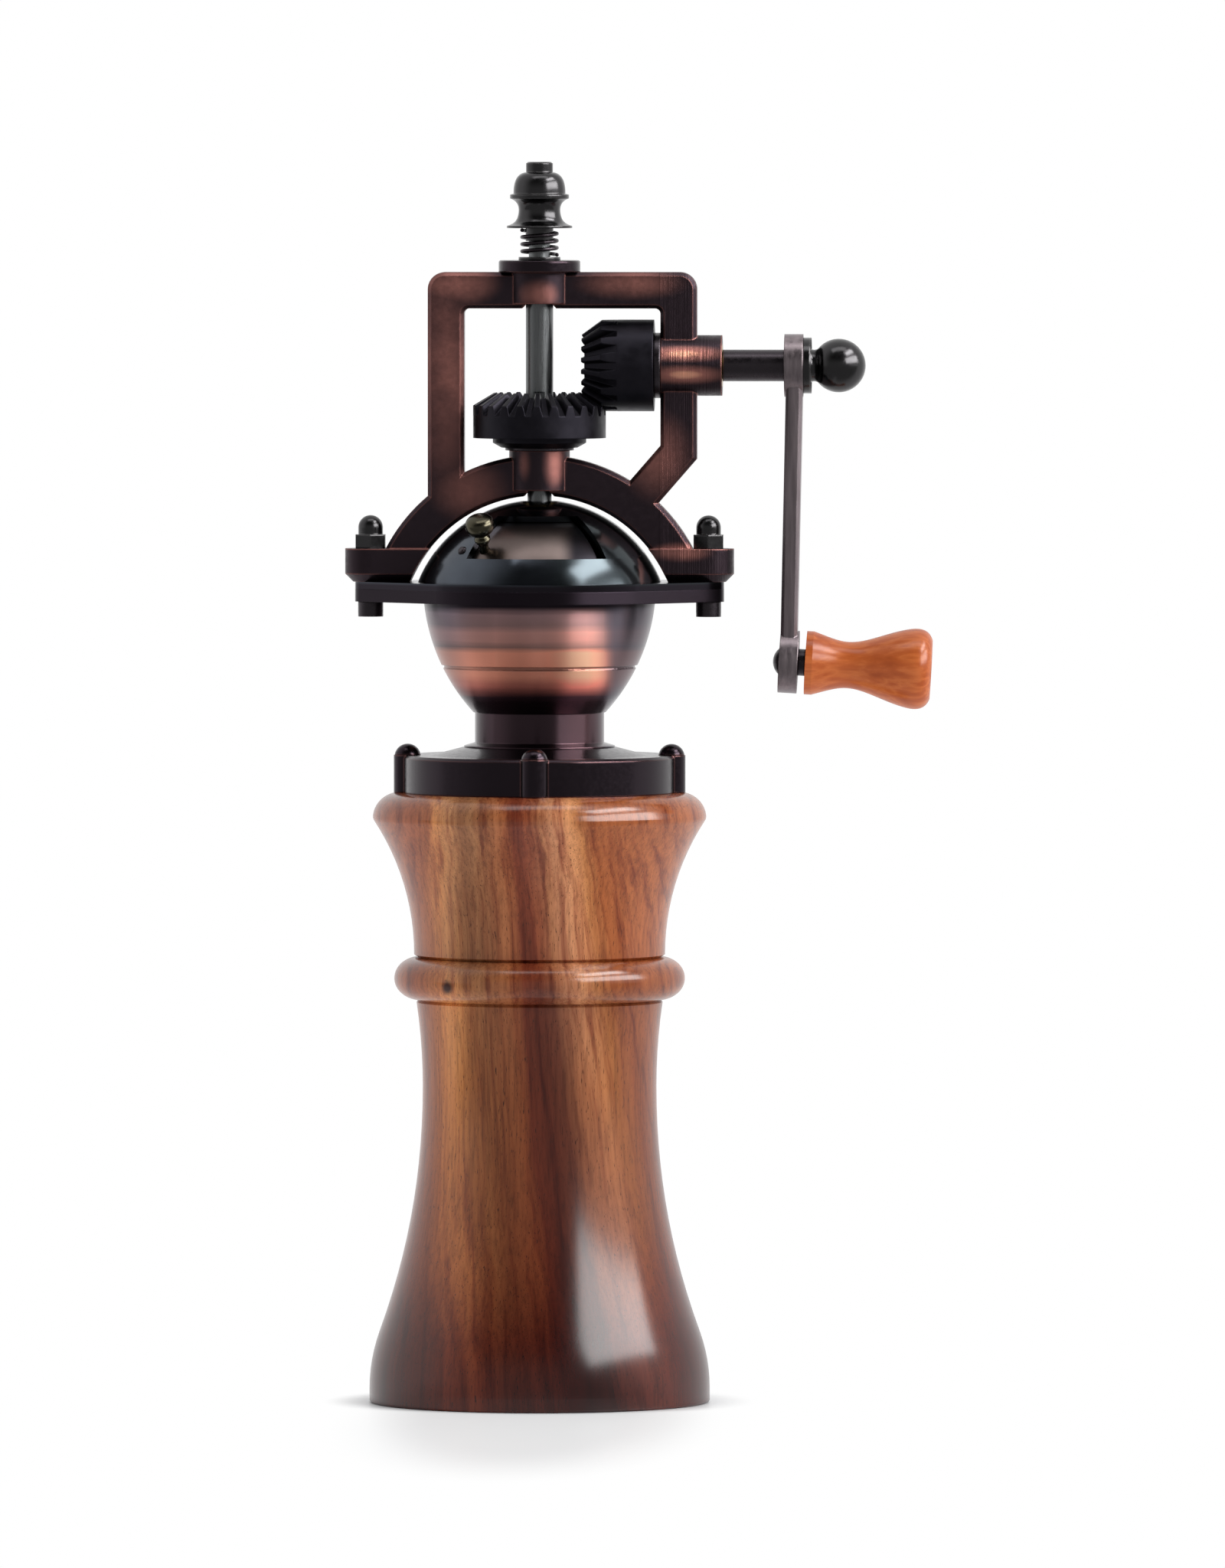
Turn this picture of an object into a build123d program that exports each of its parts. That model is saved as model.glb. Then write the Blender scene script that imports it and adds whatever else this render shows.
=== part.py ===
from build123d import *
import os
from math import acos, asin, atan2, cos, degrees, pi, radians, sin, sqrt, tan

# Hand-cranked burr mill: a turned wooden hopper with the burrs in its foot, and a cast head with a
# filling dome, an arched yoke, two bevel gears, a side crank and an adjusting finial.
# Millimetres. Origin at the centre of the base, +Z up, +X towards the crank, -Y the front, where
# the dome is filled.

# ---------------------------------------------------------------- fits
running_gap = 0.05  # radial, between a shaft and the bush it turns in
seat_gap = 0.03  # radial, between pieces that are pressed, screwed or glued together
end_gap = 0.1  # along the axis, between a turning piece and its neighbour
washer_gap = 0.25  # radial, between a shaft and a loose washer

# ---------------------------------------------------------------- wooden body
body_height = 113.7
foot_radius = 31.75
foot_band = 2.6  # height of the straight band round the foot
shoulder_height = 13.1
shoulder_drop = 1.85  # how far the shoulder has come in from the foot
waist_height = 59.0
waist_radius = 21.8
bead_height = 79.1
bead_width = 7.9
bead_root_radius = 22.6
bead_projection = 4.5
quirk_width = 0.5  # fine groove each side of the bead
quirk_step = 0.35
throat_radius = 23.4  # just above the bead
rim_radius = 31.1
rim_drop = 4.8  # the widest part of the rim lies this far under the top
rim_inset = 4.5
foot_edge = 0.5
hopper_radius = 13.5
burr_seat_radius = 14.5
burr_seat_depth = 9.9
outlet_radius = 20.0
outlet_depth = 11.0
cap_radius = 22.0  # recess in the foot for a push-in cap
cap_depth = 4.5

# ---------------------------------------------------------------- lugged ring on the wood
ring_radius = 25.3
ring_height = 7.0
ring_cone_foot = 20.0
ring_cone_top = 14.3
ring_cone_height = 1.5
ring_edge = 0.5
lug_count = 4
lug_circle = 24.6
lug_radius = 2.6
spigot_wall = 1.6
spigot_depth = 9.0
collar_screw_radius = 1.1
collar_screw_depth = 9.0  # into the wood
collar_head_radius = 2.45
collar_head_height = 2.1

# ---------------------------------------------------------------- bowl
stem_radius = 10.9
stem_lift = 1.0  # from the wood to the bottom of the stem
throat_bore = 9.4
neck_disc_radius = 14.05
neck_disc_height = 0.9
neck_radius = 12.05
neck_height = 5.6
bowl_foot_radius = 12.35
bowl_radius = 21.56
bowl_depth = 20.6
bowl_sweep = 36.0  # radius of the bowl's side, seen from the front
bowl_wall = 1.6
bowl_floor = 1.2
groove_place = 0.45  # along the bowl's side, from its foot
groove_radius = 0.35
flange_radius = 25.6
flange_ear = 2.9
bowl_flange = 2.4

# ---------------------------------------------------------------- dome and its door
dome_flange = 1.3
dome_radius = 24.5
dome_drop = 9.2  # from the top of the dome's flange down to the centre of its sphere
dome_wall = 1.2
window_top = 28.0  # degrees from the crown
window_bottom = 55.5
window_half = 40.0  # degrees each side of the front
shutter_gap = 0.15
shutter_wall = 0.6
shutter_overlap = 2.5  # degrees past the window
shutter_light = 2.5  # degrees of open gap at its right edge when closed
shutter_eye = 7.6  # outer radius of the eye at the crown
knob_place = 34.0  # degrees left of the front
knob_polar = 48.3  # degrees from the crown
knob_lean = 8.0
knob_tip = 30.0
knob_stem = 0.9
knob_collar = 1.5
knob_head = 2.7
knob_length = 7.4
rivet_radius = 0.55
rivet_head = 0.9
rivet_place = 46.5  # degrees left of the front
rivet_polar = 51.3

# ---------------------------------------------------------------- yoke
frame_depth = 6.0
post_width = 6.75
frame_edge = 0.7
yoke_corner = 3.2
window_corner = 1.0
arch_gap = 1.5  # from the dome to the inside of the arch, at its foot
arch_sink = 0.7  # the arch's inner circle lies this much below the dome's
arch_width = 6.2  # from the inner circle to the outer one, before they are moved apart
arch_rise = 0.6  # the arch's outer circle lies this much above the dome's
brace_angle = 41.0  # degrees from upright
brace_foot = 16.7  # height over the ears where the right post turns in, outer edge
boss_radius = 5.65
low_boss_height = 7.5
low_boss_rise = 0.9  # from the top of the arch to the top of the boss in it
top_boss_height = 5.9
side_boss_reach = 4.7
ear_height = 6.2
ear_radius = 4.75
ear_inset = 14.0
ear_edge = 1.5  # chamfer round the foot of each ear
gear_to_post = 1.63
pinion_to_bar = 2.08

# ---------------------------------------------------------------- fasteners through the ears
ear_screw_radius = 1.5
ear_hole_radius = 1.6
ear_screw_head = 2.35
ear_screw_head_height = 2.8
slot_width = 0.8
slot_depth = 0.7
nut_flats = 5.5
nut_hex_height = 2.6
nut_dome_radius = 2.3
nut_dome_wall = 1.3
nut_to_arch = 0.15
nut_bore_depth = 4.2

# ---------------------------------------------------------------- gears
gear_module = 1.0
gear_teeth = 24
pinion_teeth = 16
pressure_angle = 20.0
addendum = 0.65
dedendum = 0.85
backlash = 0.12
face_width = 4.6
rim_depth = 5.5  # from the pitch circle to the bottom of the gear's rim
gear_collar_radius = 8.7
gear_collar_foot = 7.1
gear_collar_height = 1.8
pinion_back = 9.35  # from the pitch circle to the pinion's back face
hub_step = 1.3  # from the pitch cone down to the flat inner face of each gear
cutter_run_in = 0.91  # the tooth cutters run past the teeth by these factors
cutter_run_out = 1.03

# ---------------------------------------------------------------- vertical shaft and adjuster
shaft_radius = 2.55
low_shaft_radius = 2.25
flat_half = 2.3  # half the distance across the driving flats in the gear
shaft_travel = 0.8  # the shaft rises or sinks this much when the burrs are set
low_bush_radius = 3.6
top_bush_radius = 3.9
top_collar_radius = 7.6
top_collar_height = 2.2
collar_edge = 0.4
gear_washer_radius = 6.4
gear_washer_height = 0.5
dome_bush_radius = 3.6
dome_bush_drop = 3.0
clip_radius = 5.4
clip_height = 0.6
thread_radius = 2.0
spring_washer_radius = 3.9
spring_washer_height = 0.6
spring_radius = 3.25  # to the middle of the wire
wire_radius = 0.4
spring_turns = 3.5
spring_length = 5.4
finial_stem_radius = 2.6
finial_stem_length = 2.4
finial_lip_radius = 6.1
finial_lip_height = 0.4
finial_vase_radius = 3.95
finial_vase_place = 2.6  # over the lip, as are the next two
finial_rim_radius = 5.5
finial_rim_place = 5.5
finial_rim_height = 0.7
finial_crown_radius = 4.85
finial_button_radius = 2.5
finial_button_foot = 10.4
finial_height = 12.3
finial_bore_depth = 10.0

# ---------------------------------------------------------------- burrs
bridge_height = 1.9
bridge_rim = 2.0
bridge_hub = 4.2
bridge_spoke = 2.4
spoke_count = 3
stator_mouth = 12.0
stator_throat = 9.1
stator_outlet = 10.1
fine_height = 3.0  # height of the fine grinding band
burr_gap = 0.35
rotor_neck = 4.6
rotor_skirt = 1.5  # the rotor hangs this far below the stator
rotor_top_gap = 1.5
rotor_flat_half = 1.75
tooth_groove = 0.55
rotor_groove_count = 14
stator_groove_count = 18
groove_twist = 25.0
rotor_washer_radius = 3.6
rotor_washer_height = 0.5
rotor_thread_radius = 1.5
rotor_nut_flats = 5.5
rotor_nut_height = 2.4
thread_tail = 1.2
plate_thickness = 2.0
plate_gap = 0.3
plate_bore = 11.3
plate_screw_circle = 17.2
plate_screw_count = 3
plate_screw_radius = 1.1
plate_screw_head = 2.1
plate_screw_depth = 8.0

# ---------------------------------------------------------------- crank
journal_radius = 2.5
crank_bush_radius = 4.0
crank_washer_radius = 6.1
crank_washer_height = 1.15
crank_shaft_radius = 2.95
crank_reach = 11.5  # from the side boss to the arm
grub_radius = 1.5
grub_inset = 3.0
grub_recess = 0.4
tang_radius = 2.2
arm_throw = 55.2
arm_thickness = 3.1
arm_eye_thickness = 3.5
arm_eye_radius = 5.85
arm_width_top = 8.6
arm_width_bottom = 7.2
arm_lean = 1.2  # degrees, the grip end lies nearer the body
arm_edge = 0.6
ball_collar_radius = 5.2
ball_collar_length = 1.5
ball_neck_radius = 3.1
ball_neck_place = 2.6
ball_radius = 5.0
ball_place = 6.6
ball_join = 40.0  # degrees round the ball, from the arm side, where the neck meets it
ball_thread_radius = 1.7
ball_thread_length = 4.5
pin_droop = 3.2  # degrees
pin_radius = 1.7
rivet_cap_radius = 2.5
rivet_cap_height = 1.2
grip_stand = 1.4
grip_length = 23.4
grip_flange_radius = 5.92
grip_flange_width = 1.3
grip_waist_radius = 4.34
grip_waist_place = 7.3
grip_bulb_radius = 7.2
grip_bulb_place = 18.4
grip_end_radius = 5.5
grip_edge = 0.7
pin_head_radius = 2.9
pin_head_height = 1.2
pin_head_gap = 0.15
pin_head_sink = 1.9

# ================================================================ heights and places that follow
burr_seat_top = outlet_depth + burr_seat_depth
rim_height = body_height - rim_drop
ring_top = body_height + ring_height
cone_top = ring_top + ring_cone_height
neck_foot = cone_top + neck_disc_height
neck_top = neck_foot + neck_height
bowl_rim = neck_top + bowl_depth
flange_joint = bowl_rim + bowl_flange
ear_seat = flange_joint + dome_flange
dome_centre = ear_seat - dome_drop
dome_inner_radius = dome_radius - dome_wall
shutter_outer = dome_inner_radius - shutter_gap
shutter_inner = shutter_outer - shutter_wall
dome_hole_radius = dome_bush_radius + seat_gap
crown_height = dome_centre + sqrt(dome_radius**2 - dome_hole_radius**2)
dome_seam = dome_centre + dome_radius * cos(radians(window_bottom))
arch_inner_radius = dome_radius + arch_gap
arch_radius = arch_inner_radius + arch_width
arch_inner_centre = dome_centre - arch_sink
arch_outer_centre = dome_centre + arch_rise
ear_top = ear_seat + ear_height
arch_foot = sqrt(arch_radius**2 - (ear_top - arch_outer_centre) ** 2)
ear_x = arch_foot + nut_to_arch + nut_flats / 2
low_boss_top = arch_outer_centre + arch_radius + low_boss_rise
low_boss_bottom = low_boss_top - low_boss_height
gear_seat = low_boss_top + gear_washer_height
gear_pitch_radius = gear_module * gear_teeth / 2
pinion_pitch_radius = gear_module * pinion_teeth / 2
gear_rim_bottom = gear_seat + gear_collar_height
crank_height = gear_rim_bottom + rim_depth + pinion_pitch_radius
cone_length = sqrt(gear_pitch_radius**2 + pinion_pitch_radius**2)
gear_cone = atan2(gear_pitch_radius, pinion_pitch_radius)
pinion_cone = pi / 2 - gear_cone
inner_scale = 1 - face_width / cone_length
gear_tip_radius = gear_pitch_radius + addendum * gear_module * cos(gear_cone)
pinion_tip_radius = pinion_pitch_radius + addendum * gear_module * cos(pinion_cone)
pinion_end = gear_pitch_radius + pinion_back
post_inner_left = -(gear_tip_radius + gear_to_post)
post_inner_right = pinion_end + end_gap + crank_washer_height
post_outer_left = post_inner_left - post_width
post_outer_right = post_inner_right + post_width
bar_bottom = crank_height + pinion_tip_radius + pinion_to_bar
bar_top = bar_bottom + post_width
side_boss_end = post_outer_right + side_boss_reach
arm_inner = side_boss_end + end_gap + crank_reach
arm_outer = arm_inner + arm_eye_thickness
top_collar_top = bar_top + top_collar_height
spring_seat = top_collar_top + spring_washer_height
lip_height = spring_seat + spring_length
stator_top = burr_seat_top - bridge_height
rotor_top = stator_top - rotor_top_gap
rotor_bottom = outlet_depth - rotor_skirt
plate_bottom = outlet_depth - plate_thickness
rotor_nut_top = rotor_bottom - rotor_washer_height
rotor_nut_bottom = rotor_nut_top - rotor_nut_height

crank_axis = Axis((0, 0, crank_height), (1, 0, 0))
crank_profile = Plane(origin=(0, 0, crank_height), x_dir=(1, 0, 0), z_dir=(0, -1, 0))


def across_crank(x):
    """The plane square to the crank shaft at x."""
    return Plane(origin=(x, 0, crank_height), x_dir=(0, 1, 0), z_dir=(1, 0, 0))


def ring(plane, outer_radius, inner_radius, thickness):
    """A washer or plain bush that stands on a plane."""
    with BuildPart() as piece:
        with BuildSketch(plane):
            Circle(outer_radius)
            Circle(inner_radius, mode=Mode.SUBTRACT)
        extrude(amount=thickness)
    return piece


# ================================================================ wooden body
with BuildPart() as wood_body:
    with BuildSketch(Plane.XZ) as turned_outline:
        with BuildLine():
            base = Line((0, 0), (foot_radius, 0))
            band = Line(base @ 1, (foot_radius, foot_band))
            shoulder = TangentArc(
                band @ 1, (foot_radius - shoulder_drop, shoulder_height), tangent=(0, 1)
            )
            flare = Spline(
                shoulder @ 1, (waist_radius, waist_height), tangents=[shoulder % 1, (0, 1)]
            )
            bead_low = bead_height - bead_width / 2
            bead_high = bead_height + bead_width / 2
            under_bead = TangentArc(
                flare @ 1,
                (bead_root_radius + quirk_step, bead_low - quirk_width),
                tangent=(0, 1),
            )
            low_quirk = Line(under_bead @ 1, (bead_root_radius, bead_low))
            bead = EllipticalCenterArc(
                (bead_root_radius, bead_height),
                bead_projection,
                bead_width / 2,
                start_angle=-90,
                arc_size=180,
            )
            high_quirk = Line(bead @ 1, (throat_radius, bead_high + quirk_width))
            throat = TangentArc(high_quirk @ 1, (rim_radius, rim_height), tangent=(0, 1))
            rim = TangentArc(throat @ 1, (rim_radius - rim_inset, body_height), tangent=(0, 1))
            top = Line(rim @ 1, (0, body_height))
            Line(top @ 1, (0, 0))
        make_face()
        rim_corner = turned_outline.vertices().sort_by_distance((rim_radius, rim_height))[0]
        fillet(rim_corner, rim_inset / 3)
        foot_corner = turned_outline.vertices().sort_by_distance((foot_radius, 0))[0]
        fillet(foot_corner, foot_edge)
    revolve(axis=Axis.Z)
    with BuildSketch(Plane.XZ):
        with BuildLine():
            Polyline(
                (0, 0),
                (cap_radius, 0),
                (cap_radius, cap_depth),
                (outlet_radius, cap_depth),
                (outlet_radius, outlet_depth),
                (burr_seat_radius, outlet_depth),
                (burr_seat_radius, burr_seat_top),
                (hopper_radius, burr_seat_top),
                (hopper_radius, body_height),
                (0, body_height),
                close=True,
            )
        make_face()
    revolve(axis=Axis.Z, mode=Mode.SUBTRACT)
    with BuildSketch(Plane.XY.offset(body_height)):
        with PolarLocations(lug_circle, lug_count):
            Circle(collar_screw_radius + seat_gap)
    extrude(amount=-collar_screw_depth - seat_gap, mode=Mode.SUBTRACT)
    with BuildSketch(Plane.XY.offset(outlet_depth)):
        with PolarLocations(plate_screw_circle, plate_screw_count, start_angle=90):
            Circle(plate_screw_radius + seat_gap)
    extrude(amount=plate_screw_depth + seat_gap, mode=Mode.SUBTRACT)

# ================================================================ lugged ring
spigot_radius = hopper_radius - seat_gap

with BuildPart() as collar_ring:
    with BuildSketch(Plane.XZ):
        with BuildLine():
            Polyline(
                (stem_radius + seat_gap, body_height),
                (spigot_radius - spigot_wall, body_height),
                (spigot_radius - spigot_wall, body_height - spigot_depth),
                (spigot_radius, body_height - spigot_depth),
                (spigot_radius, body_height),
                (ring_radius, body_height),
                (ring_radius, ring_top - ring_edge),
                (ring_radius - ring_edge, ring_top),
                (ring_cone_foot, ring_top),
                (ring_cone_top, cone_top),
                (stem_radius + seat_gap, cone_top),
                close=True,
            )
        make_face()
    revolve(axis=Axis.Z)
    with BuildSketch(Plane.XY.offset(body_height)):
        with PolarLocations(lug_circle, lug_count):
            Circle(lug_radius)
    extrude(amount=ring_height)
    with BuildSketch(Plane.XY.offset(ring_top)):
        with PolarLocations(lug_circle, lug_count):
            Circle(collar_screw_radius + seat_gap)
    extrude(amount=-ring_height, mode=Mode.SUBTRACT)



def round_cap(foot, radius, height, turn):
    """The half outline of a domed head, from its edge up to its top on the axis."""
    sphere = (radius**2 + height**2) / (2 * height)
    rise = degrees(asin((sphere - height) / sphere))
    centre = foot - (sphere - height) * Vector(cos(radians(turn)), sin(radians(turn)))
    return CenterArc(centre, sphere, turn - 90 + rise, 90 - rise)


with BuildPart() as collar_screw:
    with BuildSketch(Plane.XZ):
        with BuildLine():
            head = round_cap(Vector(0, ring_top), collar_head_radius, collar_head_height, 90)
            Polyline(
                head @ 1,
                (0, body_height - collar_screw_depth),
                (collar_screw_radius, body_height - collar_screw_depth + collar_screw_radius),
                (collar_screw_radius, ring_top),
                head @ 0,
            )
        make_face()
    revolve(axis=Axis.Z)

with BuildPart() as collar_screws:
    with PolarLocations(lug_circle, lug_count):
        add(collar_screw.part)

# ================================================================ bowl
inner_rim_radius = bowl_radius - bowl_wall


def eared_outline(plane):
    """The outline of the plates that carry both ears, with their two holes."""
    with BuildSketch(plane) as outline:
        Circle(flange_radius)
        with Locations((ear_x, 0), (-ear_x, 0)):
            Circle(flange_ear)
        make_hull()
        with Locations((ear_x, 0), (-ear_x, 0)):
            Circle(ear_hole_radius, mode=Mode.SUBTRACT)
    return outline.sketch


with BuildPart() as bowl:
    with BuildSketch(Plane.XZ):
        with BuildLine():
            outside = Polyline(
                (throat_bore, body_height + stem_lift),
                (stem_radius, body_height + stem_lift),
                (stem_radius, cone_top),
                (neck_disc_radius, cone_top),
                (neck_disc_radius, cone_top + neck_disc_height / 3),
                (neck_radius, neck_foot),
                (neck_radius, neck_top),
                (bowl_foot_radius, neck_top),
            )
            side = RadiusArc(outside @ 1, (bowl_radius, bowl_rim), -bowl_sweep)
            lip = Polyline(
                side @ 1,
                (bowl_radius, flange_joint),
                (inner_rim_radius, flange_joint),
                (inner_rim_radius, bowl_rim),
            )
            RadiusArc(
                lip @ 1,
                (throat_bore, neck_top + bowl_floor),
                bowl_sweep - bowl_wall,
            )
            Line((throat_bore, neck_top + bowl_floor), outside @ 0)
        make_face()
    revolve(axis=Axis.Z)
    extrude(eared_outline(Plane.XY.offset(bowl_rim)), amount=bowl_flange)
    with BuildSketch(Plane.XY.offset(bowl_rim)):
        Circle(inner_rim_radius)
    extrude(amount=bowl_flange, mode=Mode.SUBTRACT)
    with BuildSketch(Plane.XZ):
        with Locations(side @ groove_place):
            Circle(groove_radius)
    revolve(axis=Axis.Z, mode=Mode.SUBTRACT)

# ================================================================ dome


def meridian(azimuth):
    """The upright plane through the mill's axis, at an angle from the front towards the crank."""
    out = (sin(radians(azimuth)), -cos(radians(azimuth)), 0)
    return Plane(origin=(0, 0, dome_centre), x_dir=out, z_dir=(out[1], -out[0], 0))


def shell_profile(plane, outer_radius, inner_radius, top_angle, bottom_angle):
    """The section of a round shell about the dome's centre, between two angles from its crown."""
    with BuildSketch(plane) as section:
        with BuildLine():
            span = bottom_angle - top_angle
            outer_arc = CenterArc((0, 0), outer_radius, 90 - bottom_angle, span)
            inner_arc = CenterArc((0, 0), inner_radius, 90 - bottom_angle, span)
            Line(outer_arc @ 0, inner_arc @ 0)
            Line(outer_arc @ 1, inner_arc @ 1)
        make_face()
    return section.sketch


with BuildPart() as dome:
    with BuildSketch(Plane.XZ):
        with BuildLine():
            outer_foot = degrees(asin(dome_drop / dome_radius))
            inner_foot = degrees(asin((dome_drop - dome_flange) / dome_inner_radius))
            outer_arc = CenterArc((0, dome_centre), dome_radius, outer_foot, 90 - outer_foot)
            inner_arc = CenterArc(
                (0, dome_centre), dome_inner_radius, inner_foot, 90 - inner_foot
            )
            Line(outer_arc @ 1, inner_arc @ 1)
            Polyline(inner_arc @ 0, (flange_radius, flange_joint), (flange_radius, ear_seat),
                     outer_arc @ 0)
        make_face()
    revolve(axis=Axis.Z)
    extrude(eared_outline(Plane.XY.offset(flange_joint)), amount=dome_flange)
    with BuildSketch(Plane.XY.offset(flange_joint)):
        Circle((inner_arc @ 0).X)
    extrude(amount=dome_flange, mode=Mode.SUBTRACT)
    with BuildSketch(Plane.XY.offset(crown_height)):
        Circle(dome_hole_radius)
    extrude(amount=dome_radius, both=True, mode=Mode.SUBTRACT)

# the eared ring under the window is a piece of its own, and the dome is brazed on it
with BuildPart() as dome_seat:
    add(dome.part)
    split(bisect_by=Plane.XY.offset(dome_seam), keep=Keep.BOTTOM)

with dome:
    split(bisect_by=Plane.XY.offset(dome_seam), keep=Keep.TOP)
    window = shell_profile(
        meridian(-window_half),
        dome_radius + 1,
        dome_inner_radius - 1,
        window_top,
        window_bottom + shutter_overlap,
    )
    revolve(window, axis=Axis.Z, revolution_arc=2 * window_half, mode=Mode.SUBTRACT)

# ================================================================ shutter and its fittings


def on_shell(azimuth, polar, radius):
    """A point at a radius from the dome's centre, by its angles from the front and the crown."""
    across = radius * sin(radians(polar))
    return Vector(
        across * sin(radians(azimuth)),
        -across * cos(radians(azimuth)),
        dome_centre + radius * cos(radians(polar)),
    )


shutter_left = -window_half - shutter_overlap
shutter_span = 2 * window_half + shutter_overlap - shutter_light
shutter_hole = dome_bush_radius + running_gap
eye_polar = degrees(asin(shutter_eye / shutter_outer))
hole_polar = degrees(asin(shutter_hole / shutter_outer))

knob_direction = Vector(
    -sin(radians(knob_lean)), -sin(radians(knob_tip)), cos(radians(knob_tip))
).normalized()
knob_foot = on_shell(-knob_place, knob_polar, shutter_outer)
knob_plane = Plane(origin=knob_foot, x_dir=(1, 0, 0), z_dir=knob_direction)

with BuildPart() as shutter:
    door = shell_profile(
        meridian(shutter_left),
        shutter_outer,
        shutter_inner,
        hole_polar,
        window_bottom + shutter_overlap,
    )
    revolve(door, axis=Axis.Z, revolution_arc=shutter_span)
    eye = shell_profile(meridian(0), shutter_outer, shutter_inner, hole_polar, eye_polar)
    revolve(eye, axis=Axis.Z)
    with BuildSketch(Plane.XY.offset(dome_centre)):
        Circle(shutter_hole)
    extrude(amount=dome_radius, mode=Mode.SUBTRACT)
    with BuildSketch(knob_plane):
        Circle(knob_stem + seat_gap)
    extrude(amount=2 * shutter_wall, both=True, mode=Mode.SUBTRACT)

with BuildPart() as shutter_knob:
    with BuildSketch(Plane(origin=knob_foot, x_dir=knob_plane.x_dir, z_dir=-knob_plane.y_dir)):
        with BuildLine():
            stem_end = -shutter_wall / 2
            waist_up = knob_length * 0.45
            lower = Polyline(
                (0, stem_end),
                (knob_stem, stem_end),
                (knob_stem, shutter_gap + dome_wall),
                (knob_collar, shutter_gap + dome_wall + knob_stem),
                (knob_collar, shutter_gap + dome_wall + 1.5 * knob_stem),
                (knob_stem, waist_up),
            )
            cap = Spline(
                lower @ 1,
                (knob_head, knob_length - knob_head * 0.75),
                (0, knob_length),
                tangents=[(1, 0.4), (-1, 0)],
            )
            Line(cap @ 1, lower @ 0)
        make_face()
    revolve(axis=Axis(knob_foot, knob_direction))

rivet_out = (on_shell(-rivet_place, rivet_polar, 1) - Vector(0, 0, dome_centre)).normalized()
rivet_foot = on_shell(-rivet_place, rivet_polar, shutter_inner)
rivet_plane = Plane(origin=rivet_foot, z_dir=rivet_out)
rivet_length = dome_radius - shutter_inner

with BuildPart() as stop_rivet:
    with BuildSketch(rivet_plane):
        Circle(rivet_radius)
    extrude(amount=rivet_length)
    with BuildSketch(rivet_plane.offset(rivet_length)):
        Circle(rivet_head)
    extrude(amount=rivet_head / 2, taper=35)

with BuildPart(mode=Mode.PRIVATE) as rivet_hole:
    with BuildSketch(rivet_plane):
        Circle(rivet_radius + seat_gap)
    extrude(amount=rivet_length + rivet_head)
with dome:
    add(rivet_hole.part, mode=Mode.SUBTRACT)

dome_bush_bottom = crown_height - dome_bush_drop

dome_bush = ring(
    Plane.XY.offset(dome_bush_bottom),
    dome_bush_radius,
    low_shaft_radius + running_gap,
    dome_bush_drop,
)
shutter_clip = ring(
    Plane.XY.offset(dome_bush_bottom), clip_radius, dome_bush_radius + seat_gap, clip_height
)

# ================================================================ yoke and arch
brace_run = tan(radians(brace_angle))
brace_turn = ear_top + brace_foot
brace_inner_turn = brace_turn + post_width * tan(radians(brace_angle / 2))
window_low = arch_outer_centre + arch_inner_radius * 0.8

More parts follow.
